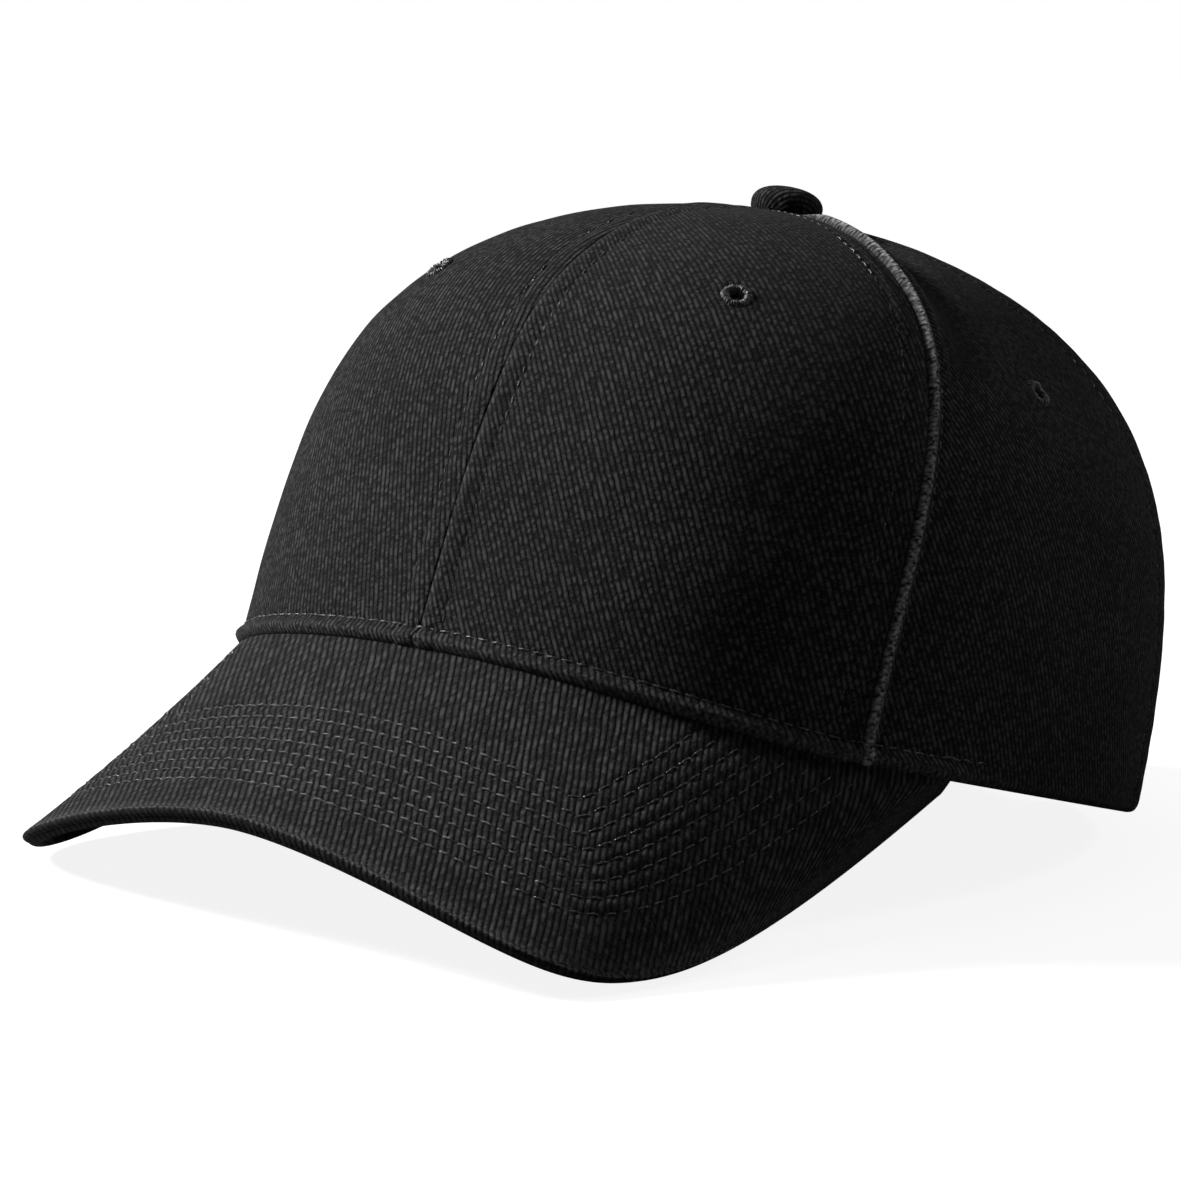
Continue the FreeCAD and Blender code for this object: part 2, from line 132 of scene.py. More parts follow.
def climbAtRadius(angle, radius):
    return climbWhere(lambda a, c: crownRadius(a, c)[0] > radius, angle, 0.5, 1.0)


def hemHeight(angle):
    away = np.abs(np.arctan2(np.sin(angle), np.cos(angle))) / math.radians(crown["hemRiseAngle"])
    return crown["hemRise"] * np.maximum(1 - away ** 2, 0) ** 1.5


def hemClimb(angle):
    return climbAtHeight(angle, hemHeight(angle))


def seamAngle(name, climb):
    climb = np.clip(climb, 0, 1)
    bow = math.radians(crown["bow"]) * np.sin(math.pi * climb ** crown["bowPower"])
    if name == "side":
        return math.radians(crown["sideSeam"]) + bow
    if name == "rear":
        return math.radians(crown["rearSeam"]) + bow / 2
    return np.zeros_like(climb) + (0.0 if name == "front" else math.pi)


def besideSeam(name, side, distance):
    # an edge that keeps a distance in millimetres from a seam, towards larger angles
    def edge(climb):
        angle = side * seamAngle(name, climb)
        return angle + distance / np.maximum(crownRadius(angle, climb)[0], 1.0)
    return edge


def crownGrid(edgeA, edgeB, columns, rows, foot, head):
    columns = columns[None, :]
    rows = rows[:, None]
    climb = np.full((rows.shape[0], columns.shape[1]), 0.5)
    for _ in range(8):
        angle = edgeA(climb) * (1 - columns) + edgeB(climb) * columns
        climb = foot(angle) * (1 - rows) + head(angle) * rows
    return angle, climb


def nearLine(points, line):
    # distance from every point to a polyline, and how far along the line the nearest place is
    flat = points.reshape(-1, 3)
    start = line[:-1]
    step = line[1:] - start
    length = np.maximum(np.linalg.norm(step, axis=1), 1e-9)
    travelled = np.concatenate([[0], np.cumsum(length)[:-1]])
    distance = np.empty(len(flat))
    along = np.empty(len(flat))
    for first in range(0, len(flat), 3000):
        away = flat[first:first + 3000, None, :] - start[None]
        share = np.clip((away * step).sum(-1) / length ** 2, 0, 1)
        gap = np.linalg.norm(away - share[..., None] * step, axis=-1)
        best = gap.argmin(1)
        pick = np.arange(len(best))
        distance[first:first + 3000] = gap[pick, best]
        along[first:first + 3000] = travelled[best] + share[pick, best] * length[best]
    return distance.reshape(points.shape[:-1]), along.reshape(points.shape[:-1])


def ripple(points, wavelength, seed):
    # gentle unevenness between -1 and 1
    random = np.random.default_rng(seed)
    total = np.zeros(points.shape[:-1])
    for _ in range(7):
        direction = unit(random.normal(size=3))
        scale = 2 * math.pi / (wavelength * random.uniform(0.6, 1.7))
        total += np.sin(points @ direction * scale + random.uniform(0, 6.28)) * random.uniform(0.5, 1.0)
    return total / 4


def bump(distance, centre, width):
    return np.exp(-((distance - centre) / width) ** 2)


def quarter(distance, radius):
    # share of a quarter circle's drop: 1 at the edge, 0 from the radius inwards
    return 1 - np.sqrt(1 - np.clip(1 - distance / radius, 0, 1) ** 2)


def turnedEdge(distance, radius):
    return -radius * quarter(distance, radius)


def easeIn(value, low, high):
    share = np.clip((value - low) / (high - low), 0, 1)
    return share ** 2 * (3 - 2 * share)


def crowdedSteps(length, fine, coarse, margin, both=True):
    # shares from 0 to 1, close together near one or both ends
    close = [0.0, 0.05, 0.15, 0.3, 0.5, 0.75, 1.05]
    while close[-1] < margin:
        close.append(close[-1] + fine)
    far = length - close[-1] if both else length
    middle = np.linspace(close[-1], far, max(int((far - close[-1]) / coarse), 2) + 1)[1:]
    steps = close + list(middle)
    if both:
        steps += [length - value for value in reversed(close[:-1])]
    return np.array(steps) / length


def newObject(name, data):
    piece = bpy.data.objects.new(name, data)
    bpy.context.scene.collection.objects.link(piece)
    return piece


def evaluatedMesh(piece):
    graph = bpy.context.evaluated_depsgraph_get()
    done = piece.evaluated_get(graph)
    return bpy.data.meshes.new_from_object(done, preserve_all_data_layers=True, depsgraph=graph)


def dress(piece, body, node):
    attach(piece, body)
    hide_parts(node)


def newMesh(name, points, faces, material, uv=None):
    mesh = bpy.data.meshes.new(name)
    mesh.from_pydata(points.reshape(-1, 3).tolist(), [], faces)
    if uv is not None:
        corner = np.empty(len(mesh.loops), dtype=np.int32)
        mesh.loops.foreach_get("vertex_index", corner)
        layer = mesh.uv_layers.new(name="weave")
        layer.data.foreach_set("uv", uv.reshape(-1, 2)[corner].astype(np.float32).ravel())
    mesh.materials.append(material)
    mesh.shade_smooth()
    return newObject(name, mesh)


def shellFaces(rows, columns, step):
    # quads of a closed shell: a dense outer grid, and an inner grid with fewer rows
    def outer(i, j):
        return i * columns + j

    def inner(i, j):
        return (rows + i) * columns + j

    faces = []
    few = (rows - 1) // step
    for i in range(rows - 1):
        for j in range(columns - 1):
            faces.append((outer(i, j), outer(i, j + 1), outer(i + 1, j + 1), outer(i + 1, j)))
    for i in range(few):
        for j in range(columns - 1):
            faces.append((inner(i, j), inner(i + 1, j), inner(i + 1, j + 1), inner(i, j + 1)))
    for j in range(columns - 1):
        faces.append((outer(0, j), inner(0, j), inner(0, j + 1), outer(0, j + 1)))
        faces.append((outer(rows - 1, j + 1), inner(few, j + 1), inner(few, j), outer(rows - 1, j)))
    for i in range(few):
        for j in (0, columns - 1):
            side = [outer(i * step + k, j) for k in range(step + 1)] + [inner(i + 1, j), inner(i, j)]
            faces.append(tuple(side if j == 0 else reversed(side)))
    return faces


def shell(name, outer, inner, material, uv, step=2, wearAndPaintedLight=None):
    # outer and inner are grids of places in the cap's own frame; uv is in metres on the outer grid
    rows, columns = outer.shape[:2]
    points = np.concatenate([outer.reshape(-1, 3), inner[::step].reshape(-1, 3)])
    flat = np.concatenate([uv.reshape(-1, 2), uv[::step].reshape(-1, 2)])
    piece = newMesh(name, placed(points), shellFaces(rows, columns, step), material, flat)
    # the per-point amount: edge wear and painted highlight above zero, painted shade below zero
    if wearAndPaintedLight is not None:
        amount = np.concatenate([wearAndPaintedLight.ravel(), 0 * wearAndPaintedLight[::step].ravel()]).astype(np.float32)
        piece.data.attributes.new("wearAndPaintedLight", "FLOAT", "POINT").data.foreach_set("value", amount)
    return piece


def clothCoordinates(face, slant):
    # distance across and up the panel in metres, turned so that the wales lean by slant degrees
    middle = face.shape[1] // 2
    across = np.linalg.norm(np.diff(face, axis=1), axis=-1)
    across = np.concatenate([np.zeros((len(face), 1)), np.cumsum(across, 1)], 1)
    across -= across[:, middle:middle + 1]
    up = np.linalg.norm(np.diff(face[:, middle], axis=0), axis=-1)
    up = np.concatenate([[0], np.cumsum(up)])[:, None] + 0 * across
    turn = math.radians(slant)
    return np.stack([across * math.cos(turn) - up * math.sin(turn),
        across * math.sin(turn) + up * math.cos(turn)], -1) * 0.001


# Node helpers
def addNode(tree, kind, inputs=None, **settings):
    node = tree.nodes.new(kind)
    for key, value in settings.items():
        setattr(node, key, value)
    for key, value in (inputs or {}).items():
        socket = node.inputs[key]
        if isinstance(value, bpy.types.NodeSocket):
            tree.links.new(value, socket)
        else:
            socket.default_value = value
    return node


def nodeOut(tree, kind, inputs=None, **settings):
    return addNode(tree, kind, inputs, **settings).outputs[0]


def mathNode(tree, operation, first, second=0.5, third=None):
    inputs = {0: first, 1: second}
    if third is not None:
        inputs[2] = third
    return nodeOut(tree, "ShaderNodeMath", inputs, operation=operation)


def noiseNode(tree, vector, scale, detail, **settings):
    return nodeOut(tree, "ShaderNodeTexNoise", {"Vector": vector, "Scale": scale, "Detail": detail},
        **settings)


def rangeNode(tree, value, low, high):
    return nodeOut(tree, "ShaderNodeMapRange", {0: value, 1: low, 2: high})


def vectorNode(tree, x=0.0, y=0.0, z=0.0):
    return nodeOut(tree, "ShaderNodeCombineXYZ", {0: x, 1: y, 2: z})


def mixNode(tree, share, first, second):
    return addNode(tree, "ShaderNodeMix", {0: share, 6: first, 7: second}, data_type="RGBA").outputs[2]


def newGroup(name, kind, inputs, outputs):
    tree = bpy.data.node_groups.new(name, kind)
    for label, socketKind, value in inputs:
        item = tree.interface.new_socket(name=label, in_out="INPUT", socket_type="NodeSocket" + socketKind)
        if value is not None:
            item.default_value = value
    for label, socketKind in outputs:
        tree.interface.new_socket(name=label, in_out="OUTPUT", socket_type="NodeSocket" + socketKind)
    return tree, tree.nodes.new("NodeGroupInput").outputs, tree.nodes.new("NodeGroupOutput")


# Cloth pattern shared by every woven piece: raised wales broken into yarn floats, with nap and fading
weave, given, result = newGroup("wovenCloth", "ShaderNodeTree",
    [("Vector", "Vector", None), ("Wale mm", "Float", 1.5),
    ("Float mm", "Float", 1.6), ("Break", "Float", 0.45), ("Nap", "Float", 0.3),
    ("Dark", "Color", None), ("Light", "Color", None)],
    [("Color", "Color"), ("Height", "Float"), ("Roughness", "Float")])
calc = partial(mathNode, weave)
place = addNode(weave, "ShaderNodeSeparateXYZ", {0: given["Vector"]}).outputs
drift = noiseNode(weave, given["Vector"], 260.0, 2.0)
drift = calc("MULTIPLY_ADD", drift, 0.5, -0.25)
count = calc("DIVIDE", calc("MULTIPLY", place[0], 1000.0), given["Wale mm"])
count = calc("ADD", count, drift)
wave = calc("ABSOLUTE", calc("SINE", calc("MULTIPLY", count, math.pi)))
wave = calc("POWER", wave, 0.9)
floats = calc("DIVIDE", calc("MULTIPLY", place[1], 1000.0), given["Float mm"])
eachWale = calc("MULTIPLY", calc("FLOOR", count), 17.3)
floats = vectorNode(weave, eachWale, floats)
floats = noiseNode(weave, floats, 1.0, 1.5, noise_dimensions="2D")
floats = rangeNode(weave, floats, 0.32, 0.66)
broken = calc("MULTIPLY", floats, given["Break"])
broken = calc("ADD", broken, calc("SUBTRACT", 1.0, given["Break"]))
yarn = calc("MULTIPLY", wave, broken)
nap = noiseNode(weave, given["Vector"], 3600.0, 3.0)
height = calc("ADD", yarn, calc("MULTIPLY", nap, given["Nap"]))
speck = noiseNode(weave, given["Vector"], 2300.0, 1.0)
speck = rangeNode(weave, speck, 0.55, 0.78)
fading = noiseNode(weave, given["Vector"], 34.0, 4.0)
# painted shade and painted highlight: the tone follows the weave's relief, darker in the gaps between wales
# and lighter on the yarn tops and floats; the nap specks and the fading are the cloth's own tone
shade = calc("MULTIPLY_ADD", yarn, 0.62, -0.12)
paintedFloatHighlight = calc("MULTIPLY", calc("POWER", calc("MULTIPLY", floats, wave), 3.0), 0.55)
shade = calc("ADD", shade, paintedFloatHighlight)
shade = calc("ADD", shade, calc("MULTIPLY", speck, given["Nap"]))
shade = nodeOut(weave, "ShaderNodeClamp", {0: calc("MULTIPLY", shade, calc("ADD", fading, 0.5))})
tint = mixNode(weave, shade, given["Dark"], given["Light"])
weave.links.new(tint, result.inputs["Color"])
weave.links.new(height, result.inputs["Height"])
weave.links.new(calc("MULTIPLY_ADD", yarn, -0.16, 0.94), result.inputs["Roughness"])

# Lighter towards the worn colour where the amount is above zero: nap rubbed along turned edges, and painted
# highlight on the side seam's ridges; darker where the amount is below zero: painted shade
wearAndLightTree, given, result = newGroup("edgeWearHighlightShade", "ShaderNodeTree",
    [("Color", "Color", None), ("Vector", "Vector", None),
    ("Amount", "Float", 0.0), ("Worn And Lit", "Color", None)], [("Color", "Color")])
patchy = noiseNode(wearAndLightTree, given["Vector"], 1300.0, 2.0)
patchy = rangeNode(wearAndLightTree, patchy, 0.38, 0.68)
patchy = mathNode(wearAndLightTree, "MULTIPLY", patchy, given["Amount"])
wornAndPaintedLight = mixNode(wearAndLightTree, patchy, given["Color"], given["Worn And Lit"])
# painted shade: a negative amount scales the colour down towards black
paintedShadeScale = mathNode(wearAndLightTree, "MINIMUM", mathNode(wearAndLightTree, "ADD", given["Amount"], 1.0), 1.0)
wornAndPaintedLight = nodeOut(wearAndLightTree, "ShaderNodeVectorMath", {0: wornAndPaintedLight, 3: paintedShadeScale}, operation="SCALE")
wearAndLightTree.links.new(wornAndPaintedLight, result.inputs["Color"])

# Fine unevenness shared by thread, foam, board and metal
grain, given, result = newGroup("surfaceGrain", "ShaderNodeTree",
    [("Vector", "Vector", None), ("Stretch", "Vector", (1, 1, 1)),
    ("Scale", "Float", 900.0), ("Dark", "Color", None),
    ("Light", "Color", None), ("Smooth", "Float", 0.3),
    ("Rough", "Float", 0.6)], [("Color", "Color"), ("Height", "Float"),
    ("Roughness", "Float")])
stretched = addNode(grain, "ShaderNodeVectorMath", {0: given["Vector"], 1: given["Stretch"]},
    operation="MULTIPLY")
fine = noiseNode(grain, stretched.outputs[0], given["Scale"], 4.0)
broad = noiseNode(grain, given["Vector"], 90.0, 3.0)
amount = rangeNode(grain, mathNode(grain, "ADD", fine, broad), 0.75, 1.3)
tint = mixNode(grain, amount, given["Dark"], given["Light"])
rough = nodeOut(grain, "ShaderNodeMix", {0: amount, 2: given["Smooth"], 3: given["Rough"]})
grain.links.new(tint, result.inputs["Color"])
grain.links.new(fine, result.inputs["Height"])
grain.links.new(rough, result.inputs["Roughness"])


def tone(red, green=None, blue=None):
    return red, red if green is None else green, red if blue is None else blue, 1


def finish(name, group, values, relief, shader, source="UV", wornAndPaintedLight=None):
    # a material: one of the two groups above, a Bump node and the shader with its own plain values
    material = bpy.data.materials.new(name)
    material.use_nodes = True
    tree = material.node_tree
    surface = tree.nodes["Principled BSDF"]
    if source == "UV":
        where = nodeOut(tree, "ShaderNodeUVMap", uv_map="weave")
    else:
        where = addNode(tree, "ShaderNodeTexCoord").outputs["Object"]
    pattern = addNode(tree, "ShaderNodeGroup", node_tree=group)
    tree.links.new(where, pattern.inputs["Vector"])
    for key, value in values.items():
        pattern.inputs[key].default_value = value
    relief = addNode(tree, "ShaderNodeBump",
        {"Distance": relief, "Strength": 1.0, "Height": pattern.outputs["Height"]})
    tint = pattern.outputs["Color"]
    if wornAndPaintedLight:
        # per-point amount read from the mesh: edge wear and painted highlight above zero, painted shade below
        # zero
        wearAndLightAmount = addNode(tree, "ShaderNodeAttribute", attribute_name="wearAndPaintedLight").outputs["Fac"]
        tint = addNode(tree, "ShaderNodeGroup", node_tree=wearAndLightTree)
        tree.links.new(pattern.outputs["Color"], tint.inputs["Color"])
        tree.links.new(where, tint.inputs["Vector"])
        tree.links.new(wearAndLightAmount, tint.inputs["Amount"])
        tint.inputs["Worn And Lit"].default_value = wornAndPaintedLight
        tint = tint.outputs[0]
    tree.links.new(tint, surface.inputs["Base Color"])
    tree.links.new(pattern.outputs["Roughness"], surface.inputs["Roughness"])
    tree.links.new(relief.outputs[0], surface.inputs["Normal"])
    for key, value in shader.items():
        surface.inputs[key].default_value = value
    return material


clothShader = {"Specular IOR Level": 0.13, "Sheen Weight": 0.02, "Sheen Roughness": 0.4,
    "Sheen Tint": (0.9, 0.92, 1.0, 1.0)}
clothKeys = ("Wale mm", "Float mm", "Break", "Nap", "Dark", "Light")
cloth = {
    "crown": (1.17, 1.25, 0.62, 0.7, tone(0.001), tone(0.046, 0.046, 0.047)),
    "visor": (1.2, 1.35, 0.5, 0.7, tone(0.001), tone(0.052, 0.052, 0.053)),
    "lining": (0.7, 0.8, 0.6, 0.25, tone(0.006), tone(0.035, 0.035, 0.036)),
    "buckram": (0.9, 0.9, 0.95, 0.15, tone(0.01), tone(0.075, 0.075, 0.077)),
    "band": (1.0, 1.2, 0.35, 0.25, tone(0.008), tone(0.05, 0.05, 0.051)),
    "label": (0.35, 0.9, 0.3, 0.1, tone(0.35, 0.35, 0.34), tone(0.66, 0.66, 0.64)),
}
cloth = {name: dict(zip(clothKeys, values)) for name, values in cloth.items()}
# the crown's worn colour is used mainly for the painted highlight on the side seam's ridges, and for nap wear
# at the other seams and the hem
crownTwill = finish("crownTwill", weave, cloth["crown"], 0.00028, clothShader, wornAndPaintedLight=tone(0.36, 0.36, 0.365))
visorTwill = finish("visorTwill", weave, cloth["visor"], 0.00034, clothShader, wornAndPaintedLight=tone(0.17, 0.17, 0.175))
tapeCloth = finish("tapeCloth", weave, cloth["lining"], 0.0002, clothShader)
buckramCloth = finish("buckramCloth", weave, cloth["buckram"], 0.00025, {"Specular IOR Level": 0.3})
bandCloth = finish("bandCloth", weave, cloth["band"], 0.00022, clothShader)
labelSatin = finish("labelSatin", weave, cloth["label"], 0.0001, {"Specular IOR Level": 0.5})
threadFinish = finish("thread", grain,
    {"Scale": 5200.0, "Dark": tone(0.006), "Light": tone(0.02, 0.02, 0.021), "Smooth": 0.26, "Rough": 0.42},
    0.00008, {"Specular IOR Level": 0.8, "Sheen Weight": 0.1}, "Object")
foamFinish = finish("foam", grain, {"Scale": 1500.0, "Dark": tone(0.03), "Light": tone(0.08), "Smooth": 0.8,
    "Rough": 0.95}, 0.0003, {"Specular IOR Level": 0.2}, "Object")
boardFinish = finish("board", grain, {"Scale": 700.0, "Dark": tone(0.03), "Light": tone(0.07), "Smooth": 0.45,
    "Rough": 0.65}, 0.00006, {}, "Object")
steelFinish = finish("brushedSteel", grain,
    {"Scale": 1400.0, "Stretch": (0.12, 0.12, 2.4), "Dark": tone(0.16, 0.155, 0.145),
    "Light": tone(0.42, 0.41, 0.39), "Smooth": 0.22, "Rough": 0.42}, 0.00002, {"Metallic": 1.0}, "Object")
print("cloth, thread, foam, board and steel ready")


# Running stitch along a line: one short bowed piece of two-ply thread at every pitch
def runningStitchTree():
    tree, given, result = newGroup("runningStitch", "GeometryNodeTree",
        [("Line", "Geometry", None), ("Pitch", "Float", 0.0032),
        ("Stitch Length", "Float", 0.0026), ("Thread Radius", "Float", 0.00024),
        ("Bow", "Float", 0.0005), ("Sink", "Float", 0.0003),
        ("Wander", "Float", 0.0001), ("Seed", "Int", 3),
        ("Finish", "Material", None)], [("Stitches", "Geometry")])
    make, calc = partial(nodeOut, tree), partial(mathNode, tree)
    line = make("GeometryNodeMeshToCurve", {0: given["Line"]})
    line = make("GeometryNodeResampleCurve", {"Curve": line, "Length": given["Pitch"]}, mode="LENGTH")
    far = calc("MULTIPLY", given["Wander"], -1.0)
    low = vectorNode(tree, far, far, 0.0)
    high = vectorNode(tree, given["Wander"], given["Wander"], given["Wander"])
    shift = make("FunctionNodeRandomValue", {0: low, 1: high, "Seed": given["Seed"]},
        data_type="FLOAT_VECTOR")
    half = calc("MULTIPLY", given["Stitch Length"], 0.5)
    deep = calc("MULTIPLY", given["Sink"], -1.0)
    start = vectorNode(tree, calc("MULTIPLY", half, -1.0), z=deep)
    middle = vectorNode(tree, z=given["Bow"])
    end = vectorNode(tree, half, z=deep)
    path = make("GeometryNodeCurveQuadraticBezier", {"Resolution": 7, "Start": start, "Middle": middle,
        "End": end})
    twist = make("GeometryNodeSplineParameter")
    path = make("GeometryNodeSetCurveTilt", {"Curve": path, "Tilt": calc("MULTIPLY", twist, 7.5)})
    ply = make("GeometryNodeCurvePrimitiveCircle", {"Resolution": 6, "Radius": given["Thread Radius"]})
    ply = make("GeometryNodeTransform", {"Geometry": ply, "Scale": (1.0, 0.62, 1.0)})
    stitch = make("GeometryNodeCurveToMesh", {"Curve": path, "Profile Curve": ply, "Fill Caps": True})
    away = make("GeometryNodeInputNamedAttribute", {"Name": "away"}, data_type="FLOAT_VECTOR")
    along = make("GeometryNodeInputTangent")
    facing = addNode(tree, "FunctionNodeAxesToRotation", {0: away, 1: along}, primary_axis="Z",
        secondary_axis="X")
    line = make("GeometryNodeSetPosition", {"Geometry": line, "Offset": shift})
    stretch = make("FunctionNodeRandomValue",
        {0: (0.88, 0.92, 0.8), 1: (1.06, 1.08, 1.15), "Seed": given["Seed"]}, data_type="FLOAT_VECTOR")
    laid = make("GeometryNodeInstanceOnPoints",
        {"Points": line, "Instance": stitch, "Rotation": facing.outputs[0], "Scale": stretch})
    real = make("GeometryNodeRealizeInstances", {0: laid})
    dressed = make("GeometryNodeSetMaterial", {"Geometry": real, "Material": given["Finish"]})
    tree.links.new(dressed, result.inputs[0])
    return tree


# Satin stitching round an eyelet: threads laid side by side from the hole outwards, on both faces
def satinRingTree():
    tree, given, result = newGroup("satinRing", "GeometryNodeTree",
        [("Start", "Geometry", None), ("Hole Radius", "Float", 0.0014),
        ("Ring Radius", "Float", 0.0032), ("Rise", "Float", 0.0011),
        ("Thread Radius", "Float", 0.0002), ("Threads", "Int", 36),
        ("Cloth", "Float", 0.001), ("Seed", "Int", 5),
        ("Finish", "Material", None)], [("Ring", "Geometry")])
    make, calc = partial(nodeOut, tree), partial(mathNode, tree)
    rings = []
    for up in (1.0, -1.0):
        middle = calc("MULTIPLY", calc("ADD", given["Hole Radius"], given["Ring Radius"]), 0.5)
        circle = addNode(tree, "GeometryNodeCurvePrimitiveCircle",
            {"Resolution": given["Threads"], "Radius": middle})
        half = calc("MULTIPLY", calc("SUBTRACT", given["Ring Radius"], given["Hole Radius"]), 0.5)
        inside = calc("MULTIPLY", half, -1.0)
        rise = calc("MULTIPLY", given["Rise"], up)
        deep = calc("MULTIPLY", given["Cloth"], -0.75 * up)
        start = vectorNode(tree, inside, z=deep)
        startPull = vectorNode(tree, inside, z=rise)
        endPull = vectorNode(tree, calc("MULTIPLY", half, 0.75), z=rise)
        end = vectorNode(tree, half, z=calc("MULTIPLY", rise, -0.35))
        path = make("GeometryNodeCurvePrimitiveBezierSegment",
            {"Resolution": 9, "Start": start, "Start Handle": startPull, "End Handle": endPull, "End": end})
        ply = addNode(tree, "GeometryNodeCurvePrimitiveCircle",
            {"Resolution": 6, "Radius": given["Thread Radius"]})
        strand = make("GeometryNodeCurveToMesh",
            {"Curve": path, "Profile Curve": ply.outputs[0], "Fill Caps": True})
        outward = make("GeometryNodeInputPosition")
        facing = make("FunctionNodeAxesToRotation", {0: (0.0, 0.0, 1.0), 1: outward}, primary_axis="Z",
            secondary_axis="X")
        stretch = make("FunctionNodeRandomValue",
            {0: (0.8, 0.85, 0.7), 1: (1.14, 1.2, 1.25), "Seed": given["Seed"]}, data_type="FLOAT_VECTOR")
        laid = make("GeometryNodeInstanceOnPoints",
            {"Points": circle.outputs[0], "Instance": strand, "Rotation": facing, "Scale": stretch})
        drop = calc("MULTIPLY", given["Cloth"], 0.0 if up > 0 else -1.0)
        lowered = vectorNode(tree, z=drop)
        rings.append(make("GeometryNodeTransform", {"Geometry": laid, "Translation": lowered}))
    both = addNode(tree, "GeometryNodeJoinGeometry")
    for ring in rings:
        tree.links.new(ring, both.inputs[0])
    real = make("GeometryNodeRealizeInstances", {0: both.outputs[0]})
    dressed = make("GeometryNodeSetMaterial", {"Geometry": real, "Material": given["Finish"]})
    tree.links.new(dressed, result.inputs[0])
    return tree


stitchTree = runningStitchTree()
ringTree = satinRingTree()


def grown(name, tree, start, values):
    # run a node tree on a start mesh and keep its result as a plain mesh
    starter = newObject(name + "Start", start)
    maker = starter.modifiers.new("maker", "NODES")
    maker.node_group = tree
    for item in tree.interface.items_tree:
        if item.item_type == "SOCKET" and item.in_out == "INPUT" and item.name in values:
            maker[item.identifier] = values[item.name]
    starter.update_tag()
    mesh = evaluatedMesh(starter)
    bpy.data.objects.remove(starter)
    mesh.name = name
    mesh.materials.clear()
    mesh.materials.append(values["Finish"])
    mesh.polygons.foreach_set("material_index", [0] * len(mesh.polygons))
    mesh.shade_smooth()
    return newObject(name, mesh)


def lineMesh(runs):
    # runs of places and ways out of the cloth, both in the cap's own frame
    mesh = bpy.data.meshes.new("line")
    places = np.concatenate([placed(points) for points, away in runs])
    edges = []
    first = 0
    for points, away in runs:
        edges += [(first + k, first + k + 1) for k in range(len(points) - 1)]
        first += len(points)
    mesh.from_pydata(places.tolist(), edges, [])
    outwards = turned(np.concatenate([away for points, away in runs]))
    mesh.attributes.new("away", "FLOAT_VECTOR", "POINT").data.foreach_set("vector",
        outwards.astype(np.float32).ravel())
    return mesh


topStitch = {"Pitch": 0.0032, "Stitch Length": 0.0025, "Thread Radius": 0.00022, "Bow": 0.00045,
    "Sink": 0.0003, "Wander": 0.00009, "Seed": 4}


def sew(name, runs, body, **changes):
    values = dict(topStitch, Finish=threadFinish)
    values.update(changes)
    piece = grown(name, stitchTree, lineMesh(runs), values)
    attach(piece, body)
    return piece


print("stitch trees ready")


# Crown panels: each closed, with its edges turned in at the seams, the hem and the opening
panelCloth = {"thickness": 0.95, "gap": 0.06, "fold": 0.42, "apexRadius": 4.2}
seamShape = {   # raised roll beside the seam, on the near side (smaller angle) and on the far side
    "front": {"roll": (0.3, 0.3), "rollAt": 1.9, "rollWidth": 1.3, "row": 5.3, "ridge": 0.12},
    "side": {"roll": (-0.35, 1.35), "rollAt": 1.15, "rollWidth": 1.0, "row": 6.0, "ridge": 0.75},
    "rear": {"roll": (0.3, 0.3), "rollAt": 1.9, "rollWidth": 1.3, "row": 5.3, "ridge": 0.12},
    "back": {"roll": (0.3, 0.3), "rollAt": 1.9, "rollWidth": 1.3, "row": 5.3, "ridge": 0.12},
}
hemShape = {"roll": 1.4, "rollAt": 1.9, "rollWidth": 1.35, "row": 4.1, "frontEnd": 75.0, "plainRoll": 0.15,
    "turnIn": 1.7}
sideHollow = {"depth": 2.6, "away": 12.0, "width": 4.6, "low": 0.5, "high": 0.78}
archShape = {"halfWidth": 42.0, "height": 50.0, "row": 6.0}
eyeletPlaces = {"front": (32.0, 84.2), "side": (91.2, 79.2), "back": (150.0, 80.0)}


def archFoot(angle):
    # the panel starts at the hem, or at the half-moon opening where that is higher
    def inOpening(a, c):
        face = crownFace(a, c)
        wide = (face[..., 0] / archShape["halfWidth"]) ** 2
        return (wide + (face[..., 2] / archShape["height"]) ** 2 < 1) & (np.cos(a) < 0)
    return np.maximum(hemClimb(angle), climbWhere(inOpening, angle, 0.0, 0.9))


def upperSeam(climb):
    return easeIn(climb, sideHollow["low"], sideHollow["high"]) * (1 - easeIn(climb, 0.95, 0.99))


def seamLift(distance, along, climb, name, near):
    shape = seamShape[name]
    roll = shape["roll"][0 if near else 1]
    lift = turnedEdge(distance, panelCloth["fold"])
    lift = lift + roll * bump(distance, shape["rollAt"], shape["rollWidth"]) * (1 - 0.7 * easeIn(climb, 0.9,
        0.97))
    lift += 0.16 * bump(distance, 3.6, 1.6)
    pull = 0.62 + 0.38 * np.cos(2 * math.pi * along / 3.2)
    lift -= 0.3 * bump(distance, shape["row"], 0.55) * pull
    lift += 0.09 * bump(distance, shape["row"] - 1.2,
        1.5) * np.cos(2 * math.pi * along / 6.7 + 1.3 * np.sin(along / 9))
    if name == "side" and not near:
        lift += shape["ridge"] * upperSeam(climb) * bump(distance, 5.2, 1.5)
        lift -= 0.3 * bump(distance, 3.1, 0.9)
    return lift


def hollowBehind(distance, climb):
    # the side panel sinks behind the upper part of the side seam
    return sideHollow["depth"] * upperSeam(climb) * bump(distance, sideHollow["away"], sideHollow["width"])


